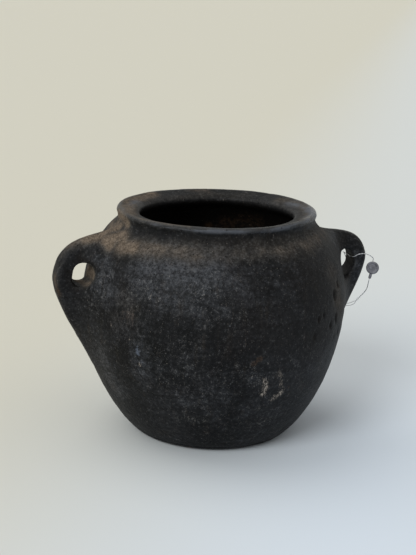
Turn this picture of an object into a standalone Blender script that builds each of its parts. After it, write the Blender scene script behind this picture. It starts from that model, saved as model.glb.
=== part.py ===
"""A two-handled blackware pot, built up from luted clay pieces, with a wired lead seal on one handle.

The pot stands on the XY plane with its axis on Z and its handles along X. Sizes are in metres.
"""

import math
from typing import NamedTuple

import bmesh
import bpy
from mathutils import Matrix, Vector

MM = 0.001

# Turned form, measured on its outer face
HEIGHT = 200 * MM
BASE_RADIUS = 68 * MM
BELLY_RADIUS = 116.5 * MM
BELLY_HEIGHT = 112 * MM
FOOT_SWELL = 24 * MM
FOOT_ANGLE = math.radians(33)
LOWER_FULLNESS = 44 * MM
SHOULDER_FULLNESS = 44 * MM
SHOULDER_RUN = 24 * MM
SHOULDER_SLOPE = math.radians(40)
NECK_RADIUS = 83 * MM
NECK_DROP = 10 * MM
WALL = 9 * MM

# Rim, flared over the neck and dished down to the throat
LIP_RADIUS = 87 * MM
LIP_ROUND = 3.4 * MM
THROAT_RADIUS = 67.5 * MM
THROAT_DROP = 8.5 * MM
THROAT_ROUND = 3.5 * MM

# Luted joints between the clay pieces. The two in the wall are placed from the belly.
LUTE_GAP = 0.3 * MM
SCARF = 3 * MM
SLAB_EDGE = 5 * MM
FLOOR = 10 * MM
LOWER_JOINT_DROP = 50 * MM
BELLY_JOINT_RISE = 10 * MM
RIM_JOINT_DROP = 14 * MM

# Ear handles, placed from the belly and the neck. The two are shaped by hand and differ a little.
RIGHT_REACH = 25.5 * MM
LEFT_REACH = 27.5 * MM
RIGHT_TOP_DROP = 8.5 * MM
LEFT_TOP_DROP = 1 * MM
RIGHT_NOSE_RISE = 36 * MM
LEFT_NOSE_RISE = 32 * MM
NOSE_PULL_UP = 30 * MM
NOSE_PULL_DOWN = 20 * MM
EAR_TOP_SINK = 3 * MM
EAR_TOP_RUN = 20 * MM
EAR_TOP_FALL = 8 * MM
EAR_FOOT_DROP = 50 * MM
EAR_FOOT_SINK = 8.5 * MM
EAR_FOOT_RUN = 16 * MM
EAR_FOOT_RISE = 32 * MM
EAR_HALF_WIDTH = 11.8 * MM
EAR_ROOT_FLARE = 10 * MM
EAR_FLARE_SHARE = 0.55
EAR_NOSE_TAPER = 3 * MM
EAR_SQUARENESS = 2.6
RIGHT_HOLE_HALF_WIDTH = 10 * MM
LEFT_HOLE_HALF_WIDTH = 11.5 * MM
RIGHT_HOLE_HALF_HEIGHT = 11 * MM
LEFT_HOLE_HALF_HEIGHT = 8 * MM
HOLE_SINK = 4 * MM
HOLE_RISE = 36 * MM
HOLE_MOUTH_ROUND = 4.5 * MM

# Sealing wire and its lead seal
WIRE_RADIUS = 0.55 * MM
WIRE_SEAT_RISE = 3.5 * MM
SEAT_GAP = 0.3 * MM
ARCH_RISE = 3 * MM
LOOP_DROP = 50 * MM
LOOP_BULGE = 7 * MM
SEAL_RADIUS = 5.8 * MM
SEAL_THICKNESS = 3.6 * MM
SEAL_RIM = 1.1 * MM
SEAL_DISH = 0.5 * MM
SEAL_OUT = 3.8 * MM
SEAL_DROP = 10.2 * MM
SEAL_FORWARD = 3.6 * MM
SEAL_YAW = math.radians(26)
SEAL_LEAN = math.radians(14)
TAIL_RADIUS = 1.3 * MM
TAIL_LENGTH = 4.2 * MM
TAIL_ANGLE = math.radians(-12)
SOCKET_DEPTH = 1.2 * MM

# Mesh fineness
TURN_STEPS = 64
CURVE_STEPS = 9
ARC_STEPS = 6
SECTION_POINTS = 22
SECTION_STEPS = 15
HOLE_STEPS = 24
DISC_STEPS = 28
WIRE_STEPS = 4

NECK_HEIGHT = HEIGHT - NECK_DROP
LOWER_JOINT = BELLY_HEIGHT - LOWER_JOINT_DROP
BELLY_JOINT = BELLY_HEIGHT + BELLY_JOINT_RISE
RIM_JOINT = HEIGHT - RIM_JOINT_DROP
HOLE_HEIGHT = BELLY_HEIGHT + HOLE_RISE


class Ear(NamedTuple):
    """The sizes by which one ear differs from the other."""

    name: str
    turn: float
    reach: float
    nose_rise: float
    top_drop: float
    hole_half_width: float
    hole_half_height: float

    def nose(self):
        return Vector((BELLY_RADIUS + self.reach, 0, BELLY_HEIGHT + self.nose_rise))

    def hole(self):
        """The hole's middle. Its inner side reaches a little past the pot's face."""
        return Vector((wall_radius(HOLE_HEIGHT) - HOLE_SINK + self.hole_half_width, 0, HOLE_HEIGHT))

    def top_edge(self):
        """The upper edge in the XZ plane, from its root inside the wall to the nose."""
        root = Vector((NECK_RADIUS + EAR_TOP_SINK, 0, NECK_HEIGHT - self.top_drop))
        root_pull = root + Vector((EAR_TOP_RUN, 0, -EAR_TOP_FALL))
        nose_pull = self.nose() + Vector((0, 0, NOSE_PULL_UP))
        return bezier(root, root_pull, nose_pull, self.nose(), SECTION_STEPS)

    def lower_edge(self):
        """The lower edge in the XZ plane, from its root inside the wall to the nose."""
        root = Vector((BELLY_RADIUS - EAR_FOOT_SINK, 0, BELLY_HEIGHT - EAR_FOOT_DROP))
        root_pull = root + Vector((EAR_FOOT_RUN, 0, EAR_FOOT_RISE))
        nose_pull = self.nose() - Vector((0, 0, NOSE_PULL_DOWN))
        return bezier(root, root_pull, nose_pull, self.nose(), SECTION_STEPS)


RIGHT_EAR = Ear(
    "right_handle", 0.0, RIGHT_REACH, RIGHT_NOSE_RISE, RIGHT_TOP_DROP,
    RIGHT_HOLE_HALF_WIDTH, RIGHT_HOLE_HALF_HEIGHT,
)
LEFT_EAR = Ear(
    "left_handle", math.pi, LEFT_REACH, LEFT_NOSE_RISE, LEFT_TOP_DROP,
    LEFT_HOLE_HALF_WIDTH, LEFT_HOLE_HALF_HEIGHT,
)


def clear_scene():
    for old in list(bpy.data.objects):
        bpy.data.objects.remove(old, do_unlink=True)


def make_material(name, colour, roughness, metallic=0.0):
    material = bpy.data.materials.new(name)
    material.use_nodes = True
    shader = material.node_tree.nodes["Principled BSDF"]
    shader.inputs["Base Color"].default_value = (*colour, 1)
    shader.inputs["Roughness"].default_value = roughness
    shader.inputs["Metallic"].default_value = metallic
    return material


def add_object(name, shape, material=None):
    """Turns a bmesh into a smooth-shaded object, and frees the bmesh."""
    mesh = bpy.data.meshes.new(name)
    bmesh.ops.recalc_face_normals(shape, faces=shape.faces)
    shape.to_mesh(mesh)
    shape.free()
    mesh.shade_smooth()
    mesh.set_sharp_from_angle(angle=math.radians(40))
    if material:
        mesh.materials.append(material)
    made = bpy.data.objects.new(name, mesh)
    bpy.context.scene.collection.objects.link(made)
    return made


def hide_helper(helper):
    """Keeps a cutter out of renders."""
    helper.hide_render = True
    helper.display_type = "WIRE"
    return helper


def cut(target, cutter):
    modifier = target.modifiers.new(f"cut_by_{cutter.name}", "BOOLEAN")
    modifier.operation = "DIFFERENCE"
    modifier.object = cutter


def bezier(start, start_handle, end_handle, end, steps):
    """Points on a cubic curve, both ends included."""
    found = []
    for i in range(steps + 1):
        t = i / steps
        weights = ((1 - t) ** 3, 3 * t * (1 - t) ** 2, 3 * t * t * (1 - t), t ** 3)
        corners = (start, start_handle, end_handle, end)
        found.append(sum((w * Vector(p) for w, p in zip(weights, corners)), Vector((0,) * len(start))))
    return found


def arc(centre, radius, first, last, steps):
    """Points on a circular arc in the profile plane, from one angle in degrees to another."""
    angles = (math.radians(first + (last - first) * i / steps) for i in range(steps + 1))
    return [Vector((centre[0] + radius * math.cos(a), centre[1] + radius * math.sin(a))) for a in angles]


def between(profile, low, high):
    """The stretch of a rising profile between two heights, with points put in at both ends."""

    def at_height(height):
        height = min(max(height, profile[0].y), profile[-1].y)
        for first, second in zip(profile, profile[1:]):
            if first.y <= height <= second.y:
                return first.lerp(second, (height - first.y) / (second.y - first.y))
        return profile[-1]

    inside = [p for p in profile if low < p.y < high]
    return [at_height(low), *inside, at_height(high)]


def offset(profile, distance):
    """The profile moved sideways along its normals. A positive distance moves it outwards."""
    moved = []
    for i, point in enumerate(profile):
        along = profile[min(i + 1, len(profile) - 1)] - profile[max(i - 1, 0)]
        moved.append(point + distance * Vector((along.y, -along.x)).normalized())
    return moved


def outer_wall():
    """Outer face of the wall from the foot over the belly to the neck, as (radius, height) points."""
    foot = (BASE_RADIUS, 0)
    foot_pull = (
        BASE_RADIUS + FOOT_SWELL * math.cos(FOOT_ANGLE),
        FOOT_SWELL * math.sin(FOOT_ANGLE),
    )
    belly = (BELLY_RADIUS, BELLY_HEIGHT)
    neck = (NECK_RADIUS, NECK_HEIGHT)
    neck_pull = (
        NECK_RADIUS + SHOULDER_RUN * math.cos(SHOULDER_SLOPE),
        NECK_HEIGHT - SHOULDER_RUN * math.sin(SHOULDER_SLOPE),
    )
    below = (BELLY_RADIUS, BELLY_HEIGHT - LOWER_FULLNESS)
    above = (BELLY_RADIUS, BELLY_HEIGHT + SHOULDER_FULLNESS)
    lower = bezier(foot, foot_pull, below, belly, CURVE_STEPS)
    upper = bezier(belly, above, neck_pull, neck, CURVE_STEPS)
    return lower + upper[1:]


def wall_radius(height):
    """Radius of the wall's outer face at a height."""
    return between(outer_wall(), height, NECK_HEIGHT)[0].x


def lip_edge():
    """The rim's face from under the lip, over its round edge, down the dish and round the throat."""
    lip_centre = (LIP_RADIUS - LIP_ROUND, HEIGHT - LIP_ROUND)
    throat_centre = (THROAT_RADIUS + THROAT_ROUND, HEIGHT - THROAT_DROP)
    lip = arc(lip_centre, LIP_ROUND, -60, 120, ARC_STEPS)
    throat = arc(throat_centre, THROAT_ROUND, 120, 230, ARC_STEPS)
    return lip + throat


def spin(outline, closed=True, steps=TURN_STEPS):
    """Turns a profile about Z. An open outline starts and ends on the axis."""
    shape = bmesh.new()
    points = [shape.verts.new((p.x, 0, p.y)) for p in outline]
    pairs = list(zip(points, points[1:]))
    if closed:
        pairs.append((points[-1], points[0]))
    edges = [shape.edges.new(pair) for pair in pairs]
    bmesh.ops.spin(
        shape, geom=points + edges, axis=(0, 0, 1), cent=(0, 0, 0),
        angle=math.tau, steps=steps, use_merge=True,
    )
    bmesh.ops.remove_doubles(shape, verts=shape.verts, dist=0.01 * MM)
    return shape


def make_base_slab(clay, outer, inner):
    """The floor: a slab whose raised middle locates the first wall ring on its ledge."""
    edge = between(outer, 0, SLAB_EDGE)
    plug = between(inner, FLOOR, BELLY_HEIGHT)[0].x - LUTE_GAP
    step = [Vector((plug, SLAB_EDGE)), Vector((plug, FLOOR))]
    outline = [Vector((0, 0)), *edge, *step, Vector((0, FLOOR))]
    add_object("base_slab", spin(outline, closed=False), clay)


def make_lower_wall(clay, outer, inner):
    """The first wall ring, standing on the slab's ledge and round its raised middle."""
    face = between(outer, SLAB_EDGE + LUTE_GAP, LOWER_JOINT + SCARF)
    back = between(inner, FLOOR, LOWER_JOINT - SCARF)
    heel = Vector((back[0].x, SLAB_EDGE + LUTE_GAP))
    add_object("lower_wall", spin([heel, *face, *reversed(back)]), clay)


def make_wall_ring(name, clay, outer, inner, low, high):
    """A wall ring with scarfed edges, which rise towards the outer face."""
    face = between(outer, low + SCARF + LUTE_GAP, high + SCARF)
    back = between(inner, low - SCARF + LUTE_GAP, high - SCARF)
    add_object(name, spin([*face, *reversed(back)]), clay)


def make_rim_collar(clay, outer, inner):
    """The last ring: the top of the shoulder, the neck and the flared lip."""
    face = between(outer, RIM_JOINT + SCARF + LUTE_GAP, NECK_HEIGHT)
    foot = between(inner, RIM_JOINT - SCARF + LUTE_GAP, RIM_JOINT)[0]
    add_object("rim_collar", spin([foot, *face, *lip_edge()]), clay)


def make_pot_envelope(outer):
    """A solid a lute gap larger than the pot's outer face, which trims the handles' roots."""
    lip = [p for p in lip_edge() if p.x >= NECK_RADIUS]
    skin = offset([*outer, *lip], LUTE_GAP)
    ends = Vector((0, skin[0].y)), Vector((0, skin[-1].y))
    return hide_helper(add_object("pot_envelope", spin([ends[0], *skin, ends[1]], closed=False)))


def ear_section(top, bottom, half_width):
    """A rounded upright section of the ear between two points of its outline."""
    centre = (top + bottom) / 2
    half_rise = (top - bottom) / 2
    power = 2 / EAR_SQUARENESS
    found = []
    for i in range(SECTION_POINTS):
        angle = math.tau * i / SECTION_POINTS
        across = math.copysign(abs(math.cos(angle)) ** power, math.cos(angle))
        upward = math.copysign(abs(math.sin(angle)) ** power, math.sin(angle))
        found.append(centre + half_rise * upward + Vector((0, half_width * across, 0)))
    return found


def ear_half_width(share):
    """Half the ear's width, flared at the root and drawn in at the nose. share runs from root to nose."""
    flare = EAR_ROOT_FLARE * max(0.0, 1 - share / EAR_FLARE_SHARE) ** 2
    taper = EAR_NOSE_TAPER * share ** 4
    return EAR_HALF_WIDTH + flare - taper


def loft_ear(ear):
    """The solid ear from its root to its nose, before the hole and the pot are cut from it."""
    shape = bmesh.new()
    rings = []
    edges = list(zip(ear.top_edge(), ear.lower_edge()))
    for i, (top, bottom) in enumerate(edges[:-1]):
        section = ear_section(top, bottom, ear_half_width(i / SECTION_STEPS))
        points = [shape.verts.new(p) for p in section]
        rings.append([shape.edges.new(pair) for pair in zip(points, points[1:] + points[:1])])
    for near, far in zip(rings, rings[1:]):
        bmesh.ops.bridge_loops(shape, edges=near + far)
    bmesh.ops.contextual_create(shape, geom=rings[0])
    bmesh.ops.contextual_create(shape, geom=rings[-1])
    return shape


def make_hole_cutter(ear):
    """The ear's hole, with rounded mouths, turned about the hole's own axis along Y."""
    half_length = EAR_HALF_WIDTH + EAR_ROOT_FLARE
    mouth_centre = (ear.hole_half_height + HOLE_MOUTH_ROUND, EAR_HALF_WIDTH - HOLE_MOUTH_ROUND)
    mouth = arc(mouth_centre, HOLE_MOUTH_ROUND, 180, 90, ARC_STEPS)
    half = [*mouth, Vector((mouth[-1].x + half_length / 2, half_length))]
    whole = [Vector((p.x, -p.y)) for p in reversed(half)] + half
    outline = [Vector((0, -half_length)), *whole, Vector((0, half_length))]
    shape = spin(outline, closed=False, steps=HOLE_STEPS)
    narrow = Matrix.Diagonal((ear.hole_half_width / ear.hole_half_height, 1, 1, 1))
    lay_down = Matrix.Rotation(math.pi / 2, 4, "X")
    place = Matrix.Translation(ear.hole())
    bmesh.ops.transform(shape, matrix=place @ lay_down @ narrow, verts=shape.verts)
    return hide_helper(add_object(f"{ear.name}_hole", shape))


def make_handle(ear, clay, envelope):
    """An ear, pierced, trimmed to the pot's face and turned to its own side."""
    handle = add_object(ear.name, loft_ear(ear), clay)
    hole = make_hole_cutter(ear)
    handle.rotation_euler.z = ear.turn
    hole.rotation_euler.z = ear.turn
    cut(handle, hole)
    cut(handle, envelope)


def wire_seat():
    """Where the wire passes the middle of the hole, seated on the strap's inner face."""
    rise = WIRE_SEAT_RISE / RIGHT_EAR.hole_half_height
    wall = RIGHT_EAR.hole().x + RIGHT_EAR.hole_half_width * math.sqrt(1 - rise * rise)
    return Vector((wall - WIRE_RADIUS - SEAT_GAP, 0, HOLE_HEIGHT + WIRE_SEAT_RISE))


def seal_placement():
    """The seal's place and turn: its face looks forwards, past the front of the ear."""
    front = EAR_HALF_WIDTH + SEAL_FORWARD
    place = Vector((RIGHT_EAR.nose().x + SEAL_OUT, -front, wire_seat().z - SEAL_DROP))
    turn = Matrix.Rotation(-SEAL_YAW, 4, "Z") @ Matrix.Rotation(-SEAL_LEAN, 4, "X")
    return Matrix.Translation(place) @ turn


def tail_tip():
    """The tail's lower end and the way it points, in the seal's own frame."""
    way = Vector((math.sin(TAIL_ANGLE), 0, -math.cos(TAIL_ANGLE)))
    return way * (SEAL_RADIUS + TAIL_LENGTH), way


def smooth_route(route, steps):
    """Points on a Catmull-Rom curve through a route's own points."""
    ends = [2 * route[0] - route[1], *route, 2 * route[-1] - route[-2]]
    found = []
    for before, start, end, after in zip(ends, ends[1:], ends[2:], ends[3:]):
        start_pull = start + (end - before) / 6
        end_pull = end - (after - start) / 6
        found += bezier(start, start_pull, end_pull, end, steps)[:-1]
    return [*found, route[-1]]


def ear_face(drop):
    """How far the ear's lower edge stands out from the wire's seat, at a drop below the seat."""
    height = wire_seat().z - drop
    edge = [Vector((p.x, p.z)) for p in RIGHT_EAR.lower_edge()]
    return between(edge, height, edge[-1].y)[0].x - wire_seat().x


def wire_route():
    """The wire from the seal's top, through the hole, behind the strap and up into the seal's tail."""
    seat = wire_seat()
    placed = seal_placement()
    reach = RIGHT_EAR.nose().x - seat.x
    side = EAR_HALF_WIDTH + WIRE_RADIUS + SEAT_GAP
    lean = ear_face(LOOP_DROP) + WIRE_RADIUS + SEAT_GAP
    bulge = lean + LOOP_BULGE
    tip, way = tail_tip()
    rim = Vector((0, 0, SEAL_RADIUS))
    rise = Vector((0, 0, 1))
    clear_of = (-SOCKET_DEPTH, 0.6 * MM, 3 * MM)
    top, leaving, over = (placed @ (rim + rise * d) for d in clear_of)
    under, entering, below = (placed @ (tip + way * d) for d in clear_of)

    def by_seat(out, y, up):
        return Vector((seat.x + out, y, seat.z + up))

    front_run = [
        by_seat(reach + 0.5 * MM, -side - 2 * MM, ARCH_RISE / 2),
        by_seat(reach - 4.5 * MM, -side - 0.6 * MM, ARCH_RISE),
        by_seat(reach - 10 * MM, -side, ARCH_RISE - 0.6 * MM),
        by_seat(2 * MM, -side, 0.8 * MM),
    ]
    through_hole = [by_seat(0, y, 0) for y in (4 * MM - side, 0, side - 4 * MM)]
    back_run = [
        by_seat(3.5 * MM, side + 0.5 * MM, -3 * MM),
        by_seat(reach / 2, side + 2 * MM, -LOOP_DROP / 4),
        by_seat(reach * 2 / 3, side + 2 * MM, -LOOP_DROP * 3 / 5),
        by_seat(lean + 3 * MM, side + 1 * MM, -LOOP_DROP + 5 * MM),
    ]
    round_tail = [
        by_seat(lean + 2.5 * MM, side * 2 / 3, -LOOP_DROP),
        by_seat(bulge, side / 4, -LOOP_DROP + 1 * MM),
        by_seat(bulge + 3 * MM, -side / 4, -LOOP_DROP + 7 * MM),
        by_seat(reach + 2 * MM, -side * 2 / 3, -LOOP_DROP + 17 * MM),
    ]
    return [
        top, leaving, over,
        *front_run, *through_hole, *back_run, *round_tail,
        below, entering, under,
    ]


def make_seal_wire(steel, tag):
    """The wire, as one tube along its route."""
    points = smooth_route(wire_route(), WIRE_STEPS)
    curve = bpy.data.curves.new("seal_wire", "CURVE")
    curve.dimensions = "3D"
    curve.bevel_depth = WIRE_RADIUS
    curve.bevel_resolution = 2
    curve.use_fill_caps = True
    spline = curve.splines.new("POLY")
    spline.points.add(len(points) - 1)
    for knot, point in zip(spline.points, points):
        knot.co = (*(point - tag.location), 1)
    curve.materials.append(steel)
    wire = bpy.data.objects.new("seal_wire", curve)
    bpy.context.scene.collection.objects.link(wire)
    wire.parent = tag


def make_seal_tag():
    """The pivot of the wire loop: it swings about the straight run through the hole."""
    tag = bpy.data.objects.new("seal_tag", None)
    tag.location = wire_seat()
    bpy.context.scene.collection.objects.link(tag)
    return tag


def add_rod(shape, start, end, radius):
    """A closed round rod between two points, added to a bmesh."""
    along = end - start
    turn = along.to_track_quat("Z", "Y").to_matrix().to_4x4()
    bmesh.ops.create_cone(
        shape, cap_ends=True, segments=12, radius1=radius, radius2=radius, depth=along.length,
        matrix=Matrix.Translation((start + end) / 2) @ turn,
    )


def make_seal_tools():
    """The seal's tail, which joins the disc, and the two sockets that take the wire's ends."""
    tip, way = tail_tip()
    tail = bmesh.new()
    add_rod(tail, way * SEAL_RADIUS / 2, tip, TAIL_RADIUS)
    sockets = bmesh.new()
    bore = WIRE_RADIUS + SEAT_GAP
    depth = SOCKET_DEPTH + SEAT_GAP
    add_rod(sockets, tip - way * depth, tip + way * depth, bore)
    rim = Vector((0, 0, SEAL_RADIUS))
    add_rod(sockets, rim - Vector((0, 0, depth)), rim + Vector((0, 0, depth)), bore)
    return [hide_helper(add_object(n, s)) for n, s in (("seal_tail", tail), ("seal_sockets", sockets))]


def make_lead_seal(lead, tag):
    """A pressed lead disc with a raised edge on both faces, a tail and two wire sockets."""
    half = SEAL_THICKNESS / 2
    face = [
        Vector((0, half - SEAL_DISH)),
        Vector((SEAL_RADIUS - 2 * SEAL_RIM, half - SEAL_DISH)),
        Vector((SEAL_RADIUS - 1.5 * SEAL_RIM, half)),
        Vector((SEAL_RADIUS - SEAL_RIM / 2, half)),
        Vector((SEAL_RADIUS, half - SEAL_RIM / 2)),
    ]
    outline = [Vector((p.x, -p.y)) for p in face] + list(reversed(face))
    shape = spin(outline, closed=False, steps=DISC_STEPS)
    bmesh.ops.rotate(shape, verts=shape.verts, cent=(0, 0, 0), matrix=Matrix.Rotation(math.pi / 2, 3, "X"))
    seal = add_object("lead_seal", shape, lead)
    tail, sockets = make_seal_tools()
    join = seal.modifiers.new("tail", "BOOLEAN")
    join.operation = "UNION"
    join.object = tail
    cut(seal, sockets)
    for piece in (seal, tail, sockets):
        piece.parent = tag
        piece.matrix_local = Matrix.Translation(-tag.location) @ seal_placement()


def main():
    clear_scene()
    clay = make_material("blackware", (0.035, 0.035, 0.037), 0.6)
    steel = make_material("sealing_wire", (0.5, 0.5, 0.52), 0.4, metallic=1.0)
    lead = make_material("lead", (0.2, 0.2, 0.23), 0.55, metallic=0.7)
    outer = outer_wall()
    inner = offset(outer, -WALL)
    make_base_slab(clay, outer, inner)
    make_lower_wall(clay, outer, inner)
    make_wall_ring("belly_wall", clay, outer, inner, LOWER_JOINT, BELLY_JOINT)
    make_wall_ring("shoulder_wall", clay, outer, inner, BELLY_JOINT, RIM_JOINT)
    make_rim_collar(clay, outer, inner)
    envelope = make_pot_envelope(outer)
    make_handle(RIGHT_EAR, clay, envelope)
    make_handle(LEFT_EAR, clay, envelope)
    tag = make_seal_tag()
    make_lead_seal(lead, tag)
    make_seal_wire(steel, tag)


main()
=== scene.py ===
"""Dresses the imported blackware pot: worn smoke-fired clay, a twisted sealing wire and a pressed lead seal.

It is laid out as a Blender add-on and run as a script. Sizes are in metres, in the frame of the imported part.
"""

import math
from typing import NamedTuple

import bmesh
import bpy
import numpy as np
from bpy.props import FloatProperty, FloatVectorProperty, IntProperty, PointerProperty
from mathutils import Matrix, Quaternion, Vector, kdtree, noise
from mathutils.bvhtree import BVHTree


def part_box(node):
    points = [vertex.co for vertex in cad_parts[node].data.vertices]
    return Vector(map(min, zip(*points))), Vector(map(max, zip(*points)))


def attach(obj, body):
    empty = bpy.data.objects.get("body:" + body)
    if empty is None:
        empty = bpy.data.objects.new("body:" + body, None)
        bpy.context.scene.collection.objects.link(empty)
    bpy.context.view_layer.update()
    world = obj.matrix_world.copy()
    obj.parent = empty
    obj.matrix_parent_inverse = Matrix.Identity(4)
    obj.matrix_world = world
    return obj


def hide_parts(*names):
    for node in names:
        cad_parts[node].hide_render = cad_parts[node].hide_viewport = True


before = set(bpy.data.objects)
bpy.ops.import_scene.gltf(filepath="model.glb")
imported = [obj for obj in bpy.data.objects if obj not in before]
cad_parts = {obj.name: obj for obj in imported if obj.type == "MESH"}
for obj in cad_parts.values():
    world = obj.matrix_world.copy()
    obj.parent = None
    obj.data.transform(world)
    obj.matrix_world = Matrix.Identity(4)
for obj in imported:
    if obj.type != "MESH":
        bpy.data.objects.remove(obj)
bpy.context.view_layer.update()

bl_info = {
    "name": "Blackware pot",
    "version": (1, 0, 0),
    "blender": (4, 5, 0),
    "location": "View3D > Sidebar > Pot",
    "description": "Forms and finishes a smoke-fired pot with a wired lead seal",
    "category": "Object",
}

MM = 0.001

# Turned form of the pot, with the sweeps of its arcs in degrees
BASE_RADIUS = 68 * MM
BELLY_HEIGHT = 112 * MM
FOOT_SWELL = 24 * MM
FOOT_ANGLE = math.radians(33)
LOWER_FULLNESS = 44 * MM
SHOULDER_FULLNESS = 44 * MM
SHOULDER_RUN = 24 * MM
SHOULDER_SLOPE = math.radians(40)
NECK_RADIUS = 84.6 * MM
NECK_DROP = 10.5 * MM
LIP_ROUND = 3.2 * MM
LIP_SWEEP = (-60, 115)
THROAT_RADIUS = 66.2 * MM
THROAT_DROP = 8 * MM
THROAT_ROUND = 4.5 * MM
THROAT_SWEEP = (120, 230)
MOUTH_DEPTH = 16 * MM
FLOOR = 10 * MM
FOOT_LINE = 5 * MM
FOOT_LINE_DEPTH = 0.7 * MM
FOOT_LINE_WIDTH = 1.3 * MM

# Easing of the section's corners: its reach and its number of passes
NECK_EASING = (7.5 * MM, 250)
LIP_EASING = (6 * MM, 25)
THROAT_EASING = (14 * MM, 260)
INSIDE_EASING = (9 * MM, 60)
FLOOR_EASING = (16 * MM, 260)
FOOT_EASING = (3 * MM, 12)

# Spacing of the section's points, and how finely shells are turned from it
FACE_STEPS = 90
EASING_STEP = 0.4 * MM
OUTLINE_STEP = 0.1 * MM
WALL_SKIP = 20
WALL_STEPS = 144
CORE_SKIP = 3
CORE_STEPS = 128
TOOL_STEPS = 64
SPIN_WELD = 0.005 * MM

# Heights at which the clay pieces meet, and the tools that cut them apart
LOWER_JOINT = 62 * MM
BELLY_JOINT = 122 * MM
RIM_JOINT = 186 * MM
SLAB_PLUG = 56 * MM
TOOL_LOW = -10 * MM
TOOL_WIDE = 200 * MM
SEAM_WELD = 0.02 * MM
SHARP_EDGE = math.radians(50)

# Ears
EAR_HALF_WIDTH = 11 * MM
EAR_NOSE_TAPER = 3 * MM
EAR_SPREAD = 42 * MM
EAR_BACK_SPREAD = 9 * MM
EAR_SPREAD_REACH = 16.5 * MM
EAR_SPREAD_LIMIT = 56 * MM
EAR_SPREAD_HALVINGS = 24
EAR_FOOT_FADE = 0.5
EAR_SQUARENESS = 2.6
EAR_TOP_RADIUS = 86 * MM
EAR_FOOT_DROP = 50 * MM
EAR_FOOT_SINK = 8.5 * MM
HOLE_HALF_LENGTH = 60 * MM
EAR_SET_IN = 4 * MM
EAR_PLUG = 3 * MM
EAR_SKIRT = 6 * MM
EAR_TOP_LIMIT = 189 * MM
EAR_FAR = 40 * MM
EAR_ZONE_FROM = 65 * MM
EAR_ZONE_HALF_WIDTH = 60 * MM

# Roots of the ears: where smoothing begins and where it ends, and how strong it is
ROOT_GAP = (5 * MM, 14 * MM)
ROOT_REACH = (6 * MM, 15 * MM)
ROOT_SIDE = (7 * MM, 15 * MM)
ROOT_TOP = (168 * MM, 178 * MM)
ROOT_LEAST = 0.12
ROOT_TOUCH = 0.25
ROOT_LEVELS = 20
TURNED_FROM = (5 * MM, 15 * MM)

# The right ear's strap, which is smoother than the wall
STRAP_FROM = 108 * MM
STRAP_HALF_WIDTH = 22 * MM
STRAP_LOW = 90 * MM
STRAP_CALM = 0.25

# Unevenness of the hand-formed clay: waves per metre along each axis, their shift and their share
HAND_WAVES = (
    ((17, 17, 21), (0, 0, 3.1), 0.75),
    ((48, 48, 95), (7, 0, 0), 0.3),
    ((210, 210, 260), (0, 5, 0), 0.11),
)
MOST_RAISED = 1.2 * MM
FOOT_FADE = (0.6 * MM, 7 * MM)
LEAN_TOP = 0.75
CONVEXITY_FULL = 0.09 * MM

# Small random dents, with the ranges of their reach and depth in millimetres
DENT_SEED = 11
DENT_COUNT = 150
DENT_REACH = (1.4, 3.6)
DENT_DEPTH = (0.15, 0.55)

# Points of the section, before and after the mouth's edge, over which the inside's shape and colour begin
INSIDE_EDGE = (-20, 20)
INSIDE_FADE = (-60, 120)

# Wire and seal, in the frame of the part
WIRE_ROUTE = (
    (146.29, -14.4, 145.76), (146.48, -14.01, 147.51), (146.73, -13.49, 149.84), (142.5, -14.65, 153.0),
    (137.5, -13.25, 154.5), (132.0, -12.65, 153.9), (128.61, -12.65, 152.3), (126.61, -8.65, 151.5),
    (126.61, 0.0, 151.5), (126.61, 8.65, 151.5), (130.11, 13.15, 148.5), (134.31, 14.65, 139.0),
    (136.87, 14.65, 121.5), (131.26, 13.65, 106.5), (130.76, 8.43, 101.5), (135.26, 3.16, 102.5),
    (138.26, -3.16, 108.5), (144.0, -8.43, 118.5), (142.02, -16.98, 128.96), (142.72, -16.69, 131.24),
    (143.24, -16.47, 132.95),
)
SEAL_PLACE = Vector((145.8, -15.4, 141.3)) * MM
SEAL_YAW = math.radians(26)
SEAL_LEAN = math.radians(14)
TAIL_ANGLE = math.radians(-12)
TAIL_LENGTH = 4.2 * MM
TAIL_RADIUS = 1.3 * MM
SOCKET_RADIUS = 0.85 * MM
SOCKET_DEPTH = 1.5 * MM
DRILL_REACH = 3 * MM
WIRE_STEP = 0.4 * MM
PARTING_POINT = 15
PARTING_REACH = 10 * MM
SEAL_FACE_SINK = 0.5 * MM
SEAL_RIM_FOOT = 2.2 * MM
SEAL_RIM_TOP = 1.5 * MM
SEAL_EDGE = 0.55 * MM
SEAL_EASING = (0.9 * MM, 12)
SEAL_OUTLINE_STEP = 0.12 * MM
SEAL_STEPS = 96
SEAL_CELL = 0.16 * MM
SEAL_STROKES = 8
BOSS_SIDE = -1.4 * MM
BOSS_UP = 0.5 * MM
BOSS_RISE = 0.45 * MM
BOSS_ROUND = (1.3 * MM, 2.3 * MM)
SQUEEZE_WAVES = 300
SQUEEZE_SHIFT = (0, 2, 0)
SQUEEZE_DEPTH = 0.16 * MM

# Camera, floor and light
CAMERA_PLACE = Vector((-0.3318, -1.0023, 0.4213))
CAMERA_TURN = math.radians(18)
CAMERA_DIP = math.radians(15.14)
CAMERA_ROLL = math.radians(1.776)
CAMERA_LENS = 80.0
FLOOR_RADIUS = 14.0
FLOOR_GAP = 63.5 * MM
FRONT_LIGHT_TURN = math.radians(39)
FRONT_LIGHT_RISE = math.radians(33)
FRONT_LIGHT_SIZE = math.radians(30)
FRONT_LIGHT_COLOUR = (0.97, 0.99, 1.0)
BACK_LIGHT_TURN = math.radians(-48)
BACK_LIGHT_RISE = math.radians(62)
BACK_LIGHT_SIZE = math.radians(50)
BACK_LIGHT_COLOUR = (1.0, 0.97, 0.92)
SKY_COLOUR = (1.0, 0.99, 0.97, 1)
BACKDROP_COLOUR = (0.66, 0.66, 0.63, 1)

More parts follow.
